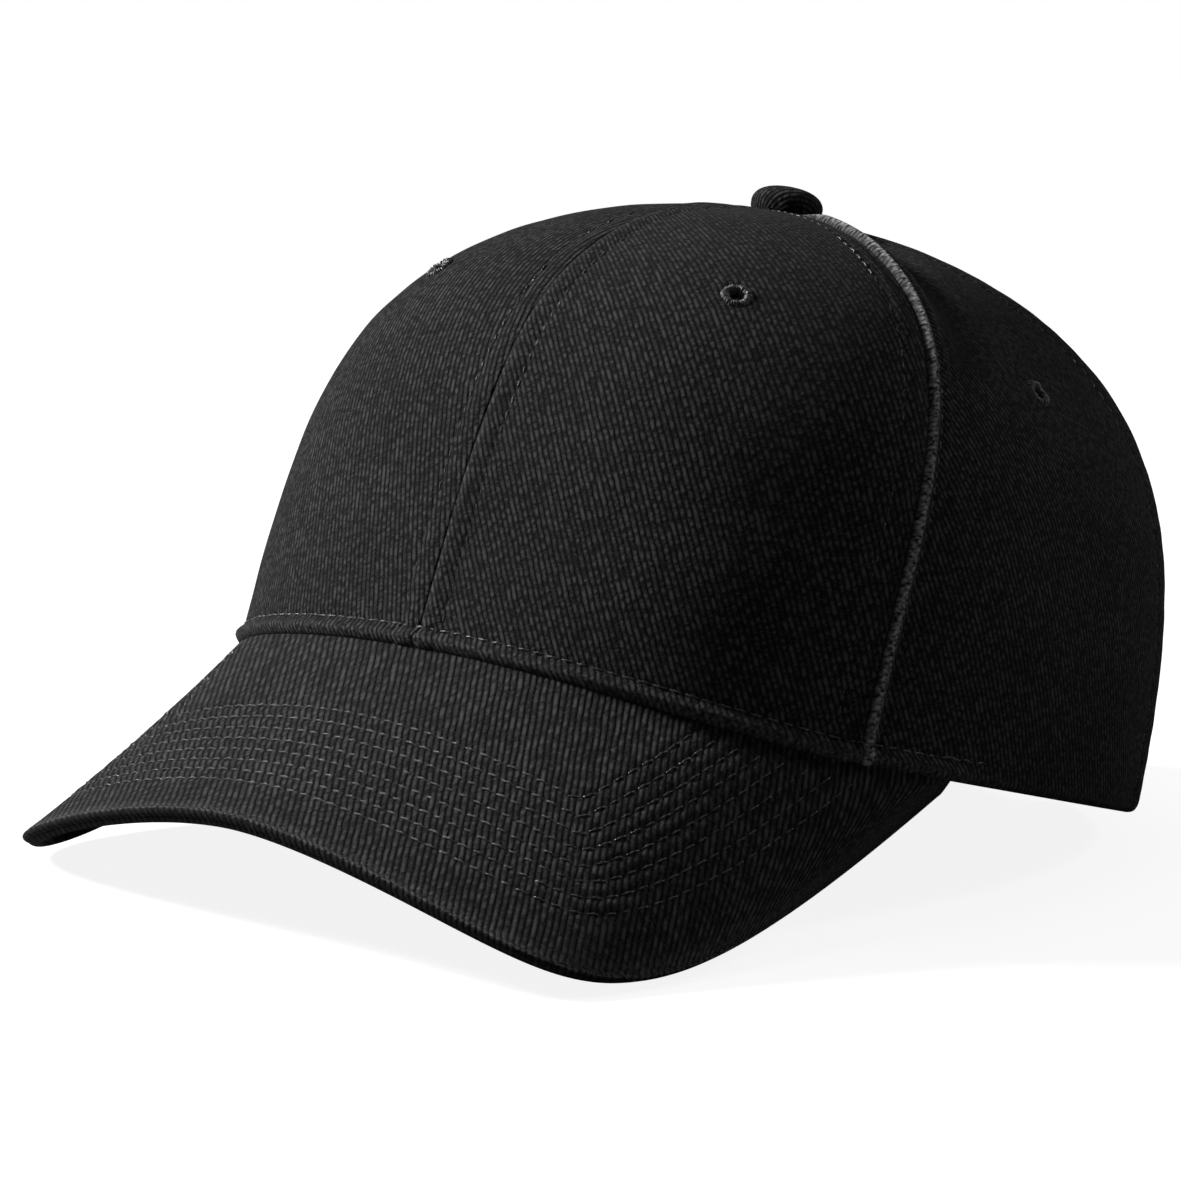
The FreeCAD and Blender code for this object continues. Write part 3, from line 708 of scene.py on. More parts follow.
def makePanel(name, first, second, side, wales, seed, eyelet):
    # first and second are the seams at the smaller and the larger angle
    gap = panelCloth["gap"]
    if side < 0:
        first, second = second, first
    edgeA = besideSeam(first, side, gap)
    edgeB = besideSeam(second, side, -gap)
    columns = crowdedSteps(95.0, 0.5, 1.3, 9.0)
    if "back" in (first, second):
        # columns close together where the opening's edge rises
        rise = np.array([archShape["halfWidth"] * math.cos(t) for t in np.linspace(0, math.pi / 2, 46)])
        radius = crownRadius(np.full(46, math.pi), np.zeros(46))[0]
        back = math.pi - np.arcsin(np.clip(rise / radius, -1, 1))
        for _ in range(6):
            back = math.pi - np.arcsin(np.clip(rise / crownRadius(back, 0 * back)[0], -1, 1))
        seam = math.radians(crown["rearSeam"])
        wide = crowdedSteps((back[0] - seam) * crown["meanRadius"], 0.5, 1.3, 9.0, both=False)[:-1]
        spots = np.concatenate([seam + wide * (back[0] - seam), back])
        shares = (spots - seam) / (math.pi - seam)
        keep = np.concatenate([[True], np.diff(shares) > 1e-5])
        shares = shares[keep]
        closing = np.array([0.05, 0.15, 0.3, 0.5, 0.75, 1.05, 1.5, 2.1, 2.8, 3.6, 4.4, 5.3, 6.2])
        closing = closing / crown["meanRadius"] / (math.pi - seam)
        shares = np.unique(np.concatenate([shares[shares < 1 - closing[-1] * 1.05], 1 - closing, [1.0]]))
        columns = shares if side > 0 else 1 - shares[::-1]
    rows = crowdedSteps(128.0, 0.5, 1.05, 7.0, both=False)
    if len(rows) % 2 == 0:
        rows = np.delete(rows, len(rows) // 2)
    angle, climb = crownGrid(edgeA, edgeB, columns, rows, archFoot,
        lambda a: climbAtRadius(a, panelCloth["apexRadius"]))
    face = crownFace(angle, climb)
    out = crownNormal(angle, climb)
    lift = 0.3 * ripple(face, 46.0, seed) + 0.1 * ripple(face, 15.0, seed + 50)
    lift *= easeIn(rows, 0.0, 0.12)[:, None]
    narrow = np.linalg.norm(face[:, -1] - face[:, 0], axis=-1)[:, None]
    hollow = 0 * lift
    wearAndPaintedLight = 0 * lift
    for seam, column, near in ((first, 0, side < 0), (second, -1, side > 0)):
        distance, along = nearLine(face, face[:, column])
        squeeze = np.clip(narrow / 22.0, 0.25, 1.0)
        lift = lift + seamLift(distance / squeeze, along, climb, seam, near) * np.clip(squeeze * 1.3, 0, 1)
        if seam == "side" and not near:
            hollow = hollowBehind(distance, climb)
            # painted highlight on the side seam's roll and its second ridge, and painted shade in the hollow
            # behind them
            wearAndPaintedLight += 1.0 * bump(distance, 0.8, 0.7) + 0.3 * bump(distance, 5.0, 1.0) * easeIn(climb, 0.5, 0.75)
            wearAndPaintedLight -= 0.6 * bump(distance, 11.0, 4.0) * easeIn(climb, 0.45, 0.6)
        else:
            wearAndPaintedLight += 0.09 * bump(distance, 0.6, 0.5)
    foot, along = nearLine(face, face[0])
    overVisor = 1 - easeIn(np.abs(angle), math.radians(70), math.radians(76))
    lift += np.maximum(turnedEdge(foot, 0.85), -0.85) * (lift > -0.6)
    low = face[0, :, 2][None, :] < 8.0
    turnIn = hemShape["turnIn"] * quarter(foot, 4.2) * low
    hollow = hollow + turnIn * easeIn(np.abs(angle), math.radians(70), math.radians(80))
    wearAndPaintedLight += (0.07 + 0.08 * overVisor) * bump(foot, 1.3, 0.9)
    roll = hemShape["plainRoll"] + (hemShape["roll"] - hemShape["plainRoll"]) * overVisor
    lift += roll * bump(foot, hemShape["rollAt"], hemShape["rollWidth"])
    pull = 0.6 + 0.4 * np.cos(2 * math.pi * along / 3.2)
    lift -= 0.5 * overVisor * bump(foot, hemShape["row"], 0.65) * pull
    if "back" in (first, second):
        lift -= 0.28 * bump(foot, archShape["row"], 0.55) * pull * (1 - low)
    if eyelet:
        turn, height = eyeletPlaces[eyelet]
        turn = np.full(1, math.radians(turn) * side)
        centre = crownFace(turn, climbAtHeight(turn, np.full(1, height)))[0]
        away = np.linalg.norm(face - centre, axis=-1)
        lift += 0.22 * bump(away, 4.0, 1.3) - 0.35 * bump(away, 1.5, 1.6)
    lift = np.maximum(lift, 0.06 - panelCloth["thickness"])
    outer = face + out * (lift - hollow)[..., None]
    inner = face - out * (panelCloth["thickness"] + hollow)[..., None]
    piece = shell(name, outer, inner, crownTwill, clothCoordinates(face, wales), wearAndPaintedLight=np.clip(wearAndPaintedLight, -0.6, 1))
    if eyelet:
        cutHole(piece, turn, height)
    print(name, len(piece.data.polygons), "faces")
    return piece


punchShape = {"sides": 24, "radius": 1.75, "reach": 5.0}


def eyeletFrame(turn, height):
    climb = climbAtHeight(turn, np.full(1, float(height)))
    centre = placed(crownFace(turn, climb))[0]
    outward = Vector(turned(crownNormal(turn, climb))[0])
    return Vector(centre), outward.to_track_quat("Z", "Y").to_matrix()


def cutHole(piece, turn, height):
    centre, facing = eyeletFrame(turn, height)
    count, radius, reach = punchShape["sides"], punchShape["radius"], punchShape["reach"]
    ring = [(radius * math.cos(t), radius * math.sin(t)) for t in np.linspace(0, 2 * math.pi, count + 1)[:-1]]
    places = [centre + facing @ Vector((x, y, z)) * 0.001 for z in (-reach, reach) for x, y in ring]
    faces = [(k, (k + 1) % count, count + (k + 1) % count, count + k) for k in range(count)]
    faces += [tuple(reversed(range(count))), tuple(range(count, 2 * count))]
    mesh = bpy.data.meshes.new("punch")
    mesh.from_pydata([tuple(p) for p in places], [], faces)
    punch = newObject("punch", mesh)
    cut = piece.modifiers.new("hole", "BOOLEAN")
    cut.object = punch
    cut.operation = "DIFFERENCE"
    cut.solver = "EXACT"
    mesh = evaluatedMesh(piece)
    piece.modifiers.clear()
    piece.data = mesh
    bpy.data.objects.remove(punch)


crownPieces = [  # piece, node, seams, side, lean of the wales, seed, eyelet
    ("frontPanelLeft", "front_panel_left", "front", "side", 1, -30.0, 1, "front"),
    ("frontPanelRight", "front_panel_right", "front", "side", -1, -19.0, 2, "front"),
    ("sidePanelLeft", "side_panel_left", "side", "rear", 1, -28.0, 3, "side"),
    ("sidePanelRight", "side_panel_right", "side", "rear", -1, -26.0, 4, "side"),
    ("backPanelLeft", "back_panel_left", "rear", "back", 1, -24.0, 5, "back"),
    ("backPanelRight", "back_panel_right", "rear", "back", -1, -27.0, 6, "back"),
]
for name, node, first, second, side, wales, seed, eyelet in crownPieces:
    panel = makePanel(name, first, second, side, wales, seed, eyelet)
    dress(panel, "crown", node)
print("crown panels done")


# Visor: a stiff board between two covers whose edges wrap round it and meet half way down
visor = {"angle": 71.6, "end": 0.985, "reach": 133.4, "drop": 30.1, "frontHandle": 31.1,
    "handles": [(83.1, -124.3, -46.7), (82.7, -118.9, -53.8), (74.6, -80.8, -49.1)], "hollow": 4.5,
    "swell": 2.6, "curveLength": 70.0, "hemGap": 0.25, "cover": 0.8, "total": 3.72, "tuck": 1.6,
    "undercut": 1.2, "rowFirst": 13.2, "rowGap": 3.5, "rows": 8, "rowDip": 0.34, "pitch": 3.3,
    "wales": -40.0,}


def visorEdge(share):
    corner = math.radians(visor["angle"])
    corner = crownFace(np.array(corner), hemClimb(np.array(corner)))
    front = np.array([0.0, -visor["reach"], -visor["drop"]])
    handles = [front,
        front + [visor["frontHandle"], 0, 0]] + [np.array(h) for h in visor["handles"]] + [corner]
    last = len(handles) - 1
    total = 0.0
    for number, handle in enumerate(handles):
        weight = math.comb(last, number) * share ** number * (1 - share) ** (last - number)
        total = total + weight[..., None] * handle
    return total


def visorFace(side, run):
    share = np.abs(side)
    angle = math.radians(visor["angle"]) * share
    inner = crownFace(angle, hemClimb(angle)) - np.array([0, 0, visor["hemGap"]])
    outer = visorEdge(share)
    point = inner * (1 - run[..., None]) + outer * run[..., None]
    rise = visor["swell"] * np.sin(math.pi * share) ** 2 - visor["hollow"] * (1 - share ** 2)
    length = np.linalg.norm(outer - inner, axis=-1)
    point[..., 2] += rise * 4 * run * (1 - run) * length / visor["curveLength"]
    point[..., 0] *= np.where(side < 0, -1.0, 1.0)
    return point


def visorWays(side, run):
    # the way out of the top and the way towards the edge
    step = 2e-4
    across = visorFace(side + step, run) - visorFace(side - step, run)
    along = visorFace(side, run + step) - visorFace(side, run - step)
    up = unit(np.cross(along, across))
    return up, unit(along)


def visorSide(count):
    # columns closer together towards the corners
    share = np.linspace(-1, 1, count)
    return visor["end"] * np.sign(share) * (1 - (1 - np.abs(share)) ** 1.12)


rimLine = visorEdge(np.linspace(0, 1, 300))
rimLine = np.concatenate([(rimLine * [-1, 1, 1])[:0:-1], rimLine])


def rowDips(distance, along):
    dip = np.zeros_like(distance)
    for number in range(visor["rows"]):
        where = visor["rowFirst"] + number * visor["rowGap"]
        pull = 0.68 + 0.32 * np.cos(2 * math.pi * along / visor["pitch"] + number * 2.1)
        dip -= visor["rowDip"] * bump(distance, where, 0.55) * pull
        dip += 0.1 * bump(distance, where + visor["rowGap"] / 2, 1.0)
    return dip


def makeCover(name, top, material):
    side = visorSide(381)
    count = 101
    run = np.linspace(0, 1, count)[:, None]
    across = np.broadcast_to(side, (count, len(side)))
    length = np.linalg.norm(visorFace(side, np.zeros(len(side))) - visorFace(side, np.ones(len(side))),
        axis=-1)
    rounding = np.minimum(visor["total"] / 2, 0.4 * length)
    undercut = np.minimum(visor["undercut"], 0.2 * length)
    flatRun = run * (1 - (rounding + (0 if top else undercut)) / length)[None, :]
    face = visorFace(across, flatRun)
    up, along = visorWays(across, flatRun)
    distance, travelled = nearLine(face, rimLine)
    lift = rowDips(distance, travelled) * easeIn(length, 12.0, 26.0)[None, :]
    lift += (0.14 * ripple(face, 40.0, 11) + 0.05 * ripple(face, 12.0, 12)) * easeIn(run, 0, 0.1)
    drop = visor["total"] * (0 if top else 1)
    way = 1.0 if top else -1.0
    outer = face + up * (way * lift - drop)[..., None]
    inner = face - up * (drop + way * visor["cover"])
    uvFace = face.copy()
    rubAndPaintedShade = [0.0 * distance + (0.25 if top else 0.0) * bump(distance, 2.0, 1.5)]
    # round the edge, down or up to the seam half way
    edge = visorFace(side, np.ones(len(side)))
    up, along = visorWays(side, np.ones(len(side)))
    half = visor["total"] / 2
    heart = edge - along * rounding[:, None] - up * half
    for turn in np.radians([75, 60, 45, 30, 16, 5, 0]):
        ring = heart + along * (rounding * math.cos(turn) ** 0.62)[:,
            None] + up * (way * half * math.sin(turn) ** 0.62)
        inside = heart + along * ((rounding * 0.55) * math.cos(turn) ** 0.62)[:, None]
        inside = inside + up * (way * (half - visor["cover"]) * math.sin(turn) + way * 0.04)
        if turn == 0:
            ring = heart + along * (rounding * 0.97)[:, None] + up * way * 0.04
        share = 0.5 - 0.5 * way * math.sin(turn) ** 0.62
        ring = ring - along * (undercut * share)[:, None]
        inside = inside - along * (undercut * share)[:, None]
        outer = np.concatenate([outer, ring[None]])
        inner = np.concatenate([inner, inside[None]])
        uvFace = np.concatenate([uvFace, (edge + along * (1.3 * (math.pi / 2 - turn)))[None]])
        # painted shade darkens the rounded edge of both covers; only the top cover's crest, near 74 degrees,
        # is lightened as nap wear
        crest = math.exp(-((math.degrees(turn) - 74) / 14) ** 2) if top else 0.0
        rubAndPaintedShade.append(np.full((1, len(side)), 0.7 * crest - 0.72 * (1 - crest)))
    tuck = visorWays(side, np.zeros(len(side)))[1] * visor["tuck"]
    outer = np.concatenate([(outer[0] - tuck)[None], outer])
    inner = np.concatenate([(inner[0] - tuck)[None], inner])
    uvFace = np.concatenate([(uvFace[0] - tuck)[None], uvFace])
    rubAndPaintedShade = np.concatenate([np.zeros((1, len(side)))] + rubAndPaintedShade)
    if len(outer) % 2 == 0:
        outer, inner, uvFace, rubAndPaintedShade = outer[1:], inner[1:], uvFace[1:], rubAndPaintedShade[1:]
    # flattened cloth: across the bend, and front to back
    bend = np.linalg.norm(np.diff(uvFace, axis=1)[..., [0, 2]], axis=-1)
    bend = np.concatenate([np.zeros((len(bend), 1)), np.cumsum(bend, 1)], 1)
    bend -= bend[:, len(side) // 2:len(side) // 2 + 1]
    deep = -np.abs(uvFace[..., 1])
    turn = math.radians(visor["wales"])
    uv = np.stack([bend * math.cos(turn) - deep * math.sin(turn),
        bend * math.sin(turn) + deep * math.cos(turn)], -1)
    if top:
        outer, inner, uv, rubAndPaintedShade = outer[::-1], inner[::-1], uv[::-1], rubAndPaintedShade[::-1]
    return shell(name, outer, inner, material, uv * 0.001, wearAndPaintedLight=rubAndPaintedShade)


for name, node, top in (("visorTopCover", "visor_top_cover", True),
    ("visorUnderCover", "visor_under_cover", False)):
    cover = makeCover(name, top, visorTwill)
    dress(cover, "crown", node)
    print(name, len(cover.data.polygons), "faces")


def visorRows(top):
    side = visorSide(701)
    run = np.linspace(0, 1, 160)
    runs = []
    grid = visorFace(np.broadcast_to(side, (160, 701)), np.broadcast_to(run[:, None], (160, 701)))
    distance, along = nearLine(grid, rimLine)
    for number in range(visor["rows"]):
        where = visor["rowFirst"] + number * visor["rowGap"]
        keep = (distance[0] > where + 1.5) & (np.abs(side) < 0.93)
        columns = np.nonzero(keep)[0]
        below = (distance[:, columns] > where).sum(0) - 1
        high, low = distance[below, columns], distance[below + 1, columns]
        place = run[below] + (high - where) / (high - low) * (run[1] - run[0])
        face = visorFace(side[columns], place)
        up = visorWays(side[columns], place)[0]
        if top:
            runs.append((face - up * 0.12, up))
        else:
            runs.append((face - up * (visor["total"] - 0.12), -up))
    return runs


sew("visorTopStitches", visorRows(True), "crown", **{"Pitch": 0.0033, "Stitch Length": 0.0027, "Seed": 8})
sew("visorUnderStitches", visorRows(False), "crown", **{"Pitch": 0.0033, "Stitch Length": 0.0026, "Seed": 9})
print("visor done")


# Top stitching on the crown, in millimetres from each seam
stitchRows = {"front": 5.3, "side": (-6.0, 3.1), "rear": 5.3}
buttonEdge = 8.2


def rowOnSeam(name, side, distance):
    climb = np.linspace(0.02, 0.99, 220)
    angle = besideSeam(name, side, distance)(climb)
    start = climb >= np.maximum(archFoot(angle), hemClimb(angle))
    angle, climb = angle[start], climb[start]
    clear = crownRadius(angle, climb)[0] > buttonEdge
    angle, climb = angle[clear], climb[clear]
    return crownAt(angle, climb, np.full(len(climb), -0.2)), crownNormal(angle, climb)


crownRows = []
for seam in ("front", "back"):
    crownRows += [rowOnSeam(seam, 1, away * stitchRows["front"]) for away in (-1, 1)]
for side in (1, -1):
    crownRows += [rowOnSeam("side", side, away * side) for away in stitchRows["side"]]
    crownRows += [rowOnSeam("rear", side, away * stitchRows["rear"]) for away in (-1, 1)]
sew("seamStitches", crownRows, "crown")

turns = np.radians(np.linspace(-hemShape["frontEnd"], hemShape["frontEnd"], 500))
hemRow = climbAtHeight(turns, hemHeight(turns) + hemShape["row"])
hemRuns = [(crownAt(turns, hemRow, np.full(500, -0.12)), crownNormal(turns, hemRow))]
for side in (1, -1):
    # a few stitches back over the end of the row
    turns = np.radians(np.linspace(hemShape["frontEnd"] - 5.0, hemShape["frontEnd"] + 0.3, 40)) * side
    back = climbAtHeight(turns, hemHeight(turns) + hemShape["row"] + 0.25)
    hemRuns.append((crownAt(turns, back, np.zeros(40)), crownNormal(turns, back)))
sew("hemStitches", hemRuns, "crown", **{"Pitch": 0.0031, "Seed": 6})


def backPoint(x, z):
    # place on the back of the crown, from its distance to the side and its height
    low, high = np.full(len(x), math.pi / 2), np.full(len(x), math.pi)
    for _ in range(40):
        angle = (low + high) / 2
        wide = crownFace(angle, climbAtHeight(angle, z))[:, 0] > np.abs(x)
        low, high = np.where(wide, angle, low), np.where(wide, high, angle)
    return np.where(x < 0, -low, low), climbAtHeight(low, z)


around = np.linspace(0.04, math.pi - 0.04, 260)
archX = (archShape["halfWidth"] + archShape["row"]) * np.cos(around)
archZ = (archShape["height"] + archShape["row"]) * np.sin(around)
angle, climb = backPoint(archX, archZ)
sew("openingStitches", [(crownAt(angle, climb, np.full(260, -0.12)), crownNormal(angle, climb))], "crown")
print("top stitching done")

# Eyelets
nothing = bpy.data.meshes.new("start")
nothing.from_pydata([(0, 0, 0)], [], [])
seed = 20
for place, (turn, height) in eyeletPlaces.items():
    for side, label in ((1, "Left"), (-1, "Right")):
        seed += 1
        clothDepth = 0.0019 if place == "front" else 0.00105
        ring = grown(place + "Eyelet" + label, ringTree, nothing.copy(),
            {"Finish": threadFinish, "Cloth": clothDepth, "Seed": seed})
        centre, facing = eyeletFrame(np.full(1, math.radians(turn) * side), height)
        ring.data.transform(facing.to_4x4())
        ring.data.transform(Matrix.Translation(centre))
        dress(ring, "crown", place + "_eyelet_" + label.lower())
print("eyelets done")

# Button: cloth drawn over a dome, gathered into folds under its rim
buttonShape = {"radius": 7.7, "height": 6.0, "cover": 0.6, "folds": 13, "foldDepth": 0.2}


def buttonSurface():
    # flat top, full shoulder, drawn in under the foot where the cloth is gathered
    rings, spokes = 52, 168
    turn = np.linspace(0, 2 * math.pi, spokes, endpoint=False)
    surface = []
    for step in np.linspace(0, 1, rings):
        bend = math.pi / 2 * min(step / 0.82, 1.0)
        under = max(step - 0.82, 0.0) / 0.18
        reach = buttonShape["radius"] * math.sin(bend) ** 0.8 * (1 - 0.04 * under ** 2)
        level = buttonShape["height"] * (0.3 + 0.7 * max(math.cos(bend),
            0.0) ** 0.85) - 0.3 * buttonShape["height"] * under
        wave = np.cos(buttonShape["folds"] * turn + 0.9 * np.sin(3 * turn)) + 0.15 * np.cos(29 * turn + 1.0)
        depth = buttonShape["foldDepth"] * easeIn(step, 0.74, 1.0) * (1 - wave) / 2
        surface.append(np.stack([(reach - depth) * np.cos(turn), (reach - depth) * np.sin(turn),
            np.full(spokes, level)], -1))
    return np.array(surface)


def buttonPiece():
    outer = buttonSurface()
    rings, spokes = outer.shape[:2]
    inner = outer * 0.93
    points = np.concatenate([outer.reshape(-1, 3), inner.reshape(-1, 3)])
    # the cloth's own distance from the top of the dome, laid out flat
    slope = np.concatenate([[0], np.cumsum(np.linalg.norm(np.diff(outer[:, 0], axis=0), axis=-1))])
    turn = np.arctan2(outer[..., 1], outer[..., 0]) + 0.5
    flat = np.stack([slope[:, None] * np.cos(turn), slope[:, None] * np.sin(turn)], -1).reshape(-1, 2) * 0.001
    flat = np.concatenate([flat, flat])
    faces = []
    off = rings * spokes
    for i in range(rings - 1):
        for j in range(spokes):
            k = (j + 1) % spokes
            a, b, c, d = i * spokes + j, (i + 1) * spokes + j, (i + 1) * spokes + k, i * spokes + k
            faces.append((a, b, c, d))
            faces.append((a + off, d + off, c + off, b + off))
    last = (rings - 1) * spokes
    for j in range(spokes):
        k = (j + 1) % spokes
        faces.append((last + j, last + j + off, last + k + off, last + k))
    points = points + [0, crown["setBack"], crown["height"] + 0.1]
    return newMesh("buttonCover", placed(points), faces, crownTwill, flat)


button = buttonPiece()
dress(button, "crown", "button_cover")
print("button done")


# Linings behind the cloth: stiff buckram in the two front panels, tape over every seam and round the opening
lining = {"gap": 1.25, "buckram": 0.55, "inset": 3.0, "buckramTop": 0.93, "overBuckram": 2.1,
    "tapeWidth": 12.0, "tape": 0.4, "bulge": 0.25, "tapeRow": 4.4, "tapeEnd": 7.9, "archWidth": 8.0}

for side, label in ((1, "Left"), (-1, "Right")):
    edges = [besideSeam("front", side, lining["inset"] * side),
        besideSeam("side", side, -lining["inset"] * side)]
    if side < 0:
        edges.reverse()
    angle, climb = crownGrid(edges[0], edges[1], np.linspace(0, 1, 61), np.linspace(0, 1, 81),
        lambda a: climbAtHeight(a, hemHeight(a) + 1.2), lambda a: 0 * a + lining["buckramTop"])
    face = crownFace(angle, climb)
    unevenness = 0.08 * ripple(face, 20.0, 70 + side)
    outer = crownAt(angle, climb, unevenness - lining["gap"] - 0.08)
    inner = crownAt(angle, climb, unevenness - lining["gap"] - lining["buckram"])
    buckram = shell("frontBuckram" + label, outer, inner, buckramCloth, clothCoordinates(face, 0.0))
    cutHole(buckram, np.full(1, math.radians(eyeletPlaces["front"][0]) * side), eyeletPlaces["front"][1])
    dress(buckram, "crown", "front_buckram_" + label.lower())

tapeRows = []


def makeTape(name, node, seam, side, level):
    count = 141
    across = np.linspace(-1, 1, 17)
    half = lining["tapeWidth"] / 2
    if seam == "back":
        foot = climbAtHeight(np.full(1, math.pi), archShape["height"] + lining["archWidth"] + 2.0)[0]
    else:
        foot = climbAtHeight(seamAngle(seam, np.zeros(1)), hemHeight(seamAngle(seam, np.zeros(1))) + 1.2)[0]
    head = climbAtRadius(side * seamAngle(seam, np.ones(1)), lining["tapeEnd"])[0]
    climb = np.linspace(foot, head, count)[:, None] + 0 * across[None, :]
    centre = side * seamAngle(seam, climb)
    angle = centre + across[None, :] * half / crownRadius(centre, climb)[0]
    overBuckram = seam in ("front", "side")
    base = lining["gap"] + (lining["overBuckram"] - lining["gap"]) * (1 - easeIn(climb, 0.93,
        0.97)) * overBuckram
    base = base + 0.5 * level * easeIn(climb, 0.9, 0.97)
    bulge = lining["bulge"] * (1 - across[None, :] ** 2)
    face = crownFace(angle, climb)
    pucker = 0.07 * ripple(face, 6.0, int(90 + level * 7 + side)) * np.abs(across[None, :])
    tape = shell(name, crownAt(angle, climb, -base),
        crownAt(angle, climb, -base - lining["tape"] - bulge - pucker), tapeCloth,
        clothCoordinates(face, 45.0))
    dress(tape, "crown", node)
    for where in (-1, 1):
        line = centre[:, 0] + where * lining["tapeRow"] / crownRadius(centre[:, 0], climb[:, 0])[0]
        deep = base[:, 0] + lining["tape"] + lining["bulge"] * (1 - (lining["tapeRow"] / half) ** 2) + 0.02
        tapeRows.append((crownAt(line, climb[:, 0], -deep), -crownNormal(line, climb[:, 0])))


makeTape("frontSeamTape", "front_seam_tape", "front", 1, 0)
makeTape("backSeamTape", "back_seam_tape", "back", 1, 1)
for side, label in ((1, "Left"), (-1, "Right")):
    makeTape("sideSeamTape" + label, "side_seam_tape_" + label.lower(), "side", side, 1)
    makeTape("rearSeamTape" + label, "rear_seam_tape_" + label.lower(), "rear", side, 0)

# Binding round the half-moon opening, wrapped over the panels' edge
around = np.linspace(0.0, math.pi, 181)
widths = np.array([0.15, 0.15, 0.4, 0.9, 1.6, 2.6, 3.8, 5.0, 6.2, 7.2, 7.8, 8.0])
depths = np.array([0.55, 0.95, 1.4, 1.62, 1.7, 1.7, 1.68, 1.66, 1.68, 1.7, 1.62, 1.4])
bindX = (archShape["halfWidth"] + widths[:, None]) * np.cos(around)[None, :]
bindZ = (archShape["height"] + widths[:, None]) * np.sin(around)[None, :]
angle, climb = backPoint(bindX.ravel(), np.maximum(bindZ.ravel(), 0.0))
angle, climb = angle.reshape(bindX.shape), climb.reshape(bindX.shape)
front = crownAt(angle, climb, -np.minimum(depths - 0.35, 1.3)[:, None] + 0 * angle)
back = crownAt(angle, climb, -depths[:, None] - 0.06 * np.cos(around * 140)[None, :] * bump(widths, 6.2,
    1.5)[:, None])
outlineUv = np.stack([np.broadcast_to(around * 62.0, bindX.shape),
    np.broadcast_to(widths[:, None], bindX.shape)], -1)
binding = shell("openingBinding", front[::-1][:11], back[::-1][:11], tapeCloth, outlineUv[::-1][:11] * 0.001)
dress(binding, "crown", "arch_tape")
x = (archShape["halfWidth"] + 6.4) * np.cos(around[2:-2])
z = (archShape["height"] + 6.4) * np.sin(around[2:-2])
angle, climb = backPoint(x, z)
tapeRows.append((crownAt(angle, climb, np.full(len(angle), -1.72)), -crownNormal(angle, climb)))
sew("liningStitches", tapeRows, "crown", **{"Seed": 12, "Stitch Length": 0.0024})
print("linings done")

# Sweatband: a padded strip round the inside of the hem, filled out by a short cloth run
band = {"height": 32.0, "hemGap": 1.5, "depth": 2.8, "room": 4.0, "roomFrom": 98.0, "roomTo": 120.0,
    "end": 149.0, "pad": 1.4, "cover": 0.8, "gap": 0.06, "lowRow": 3.0, "highRow": 29.0, "fullness": 0.0008,
    "frames": 20, "padFullness": 0.00012, "pressure": 4.0, "insideRadius": 85.0}


def bandPoint(angle, height, depth):
    low, high = math.radians(band["roomFrom"]), math.radians(band["roomTo"])
    room = band["room"] * easeIn(np.abs(angle), low, high)
    return crownAt(angle, climbAtHeight(angle, hemHeight(angle) + height), -(depth + room))


def bandWay(angle, height):
    return -crownNormal(angle, climbAtHeight(angle, hemHeight(angle) + height))


def bandStrip(name, low, high, near, far, columns, material, edge):
    # closed strip with rounded long edges; near is the depth of the side towards the cloth
    turns = np.radians(np.linspace(-band["end"], band["end"], columns))[None, :]
    heights = np.concatenate([[0.0, 0.5, 1.2], np.linspace(2.4, high - low - 2.4, 11),
        [high - low - 1.2, high - low - 0.5, high - low]])[:, None]
    ends = np.minimum(heights, high - low - heights)
    slim = edge * quarter(ends, 1.2)
    turns = turns + 0 * heights
    tall = low + heights + 0 * turns
    outer = bandPoint(turns, tall, near + slim)
    inner = bandPoint(turns, tall, far - slim)
    uv = np.stack([turns * band["insideRadius"], tall], -1) * 0.001
    return shell(name, outer, inner, material, uv, 1)


def fillOut(piece, firm, cap):
    # a short cloth run with air inside; firm tells which points are sewn down
    start = np.array([v.co for v in piece.data.vertices])
    sewn = piece.vertex_groups.new(name="sewn")
    sewn.add([int(k) for k in np.nonzero(firm)[0]], 1.0, "REPLACE")
    run = piece.modifiers.new("air", "CLOTH")
    run.settings.quality = 6
    run.settings.mass = 0.15
    run.settings.tension_stiffness = 12
    run.settings.compression_stiffness = 8
    run.settings.bending_stiffness = 0.4
    run.settings.use_pressure = True
    run.settings.uniform_pressure_force = band["pressure"]
    run.settings.shrink_min = -0.03
    run.settings.vertex_group_mass = "sewn"
    run.settings.pin_stiffness = 1.0
    run.settings.effector_weights.gravity = 0.0
    run.collision_settings.use_collision = False
    run.point_cache.frame_start = 1
    run.point_cache.frame_end = band["frames"]
    scene = bpy.context.scene
    for number in range(1, band["frames"] + 1):
        scene.frame_set(number)
    graph = bpy.context.evaluated_depsgraph_get()
    filled = np.array([v.co for v in piece.evaluated_get(graph).data.vertices])
    piece.modifiers.clear()
    scene.frame_set(1)
    moved = filled - start
    far = np.linalg.norm(moved, axis=1, keepdims=True)
    moved *= np.minimum(1, cap / np.maximum(far, 1e-9))
    piece.data.vertices.foreach_set("co", (start + moved).astype(np.float32).ravel())
    piece.data.update()
    print(piece.name, "filled out by up to", round(float(np.linalg.norm(moved, axis=1).max()) * 1000, 2),
        "mm")


def smoothed(piece):
    finer = piece.modifiers.new("finer", "SUBSURF")
    finer.levels = 1
    finer.render_levels = 1
    mesh = evaluatedMesh(piece)
    piece.modifiers.clear()
    piece.data = mesh
    piece.data.shade_smooth()


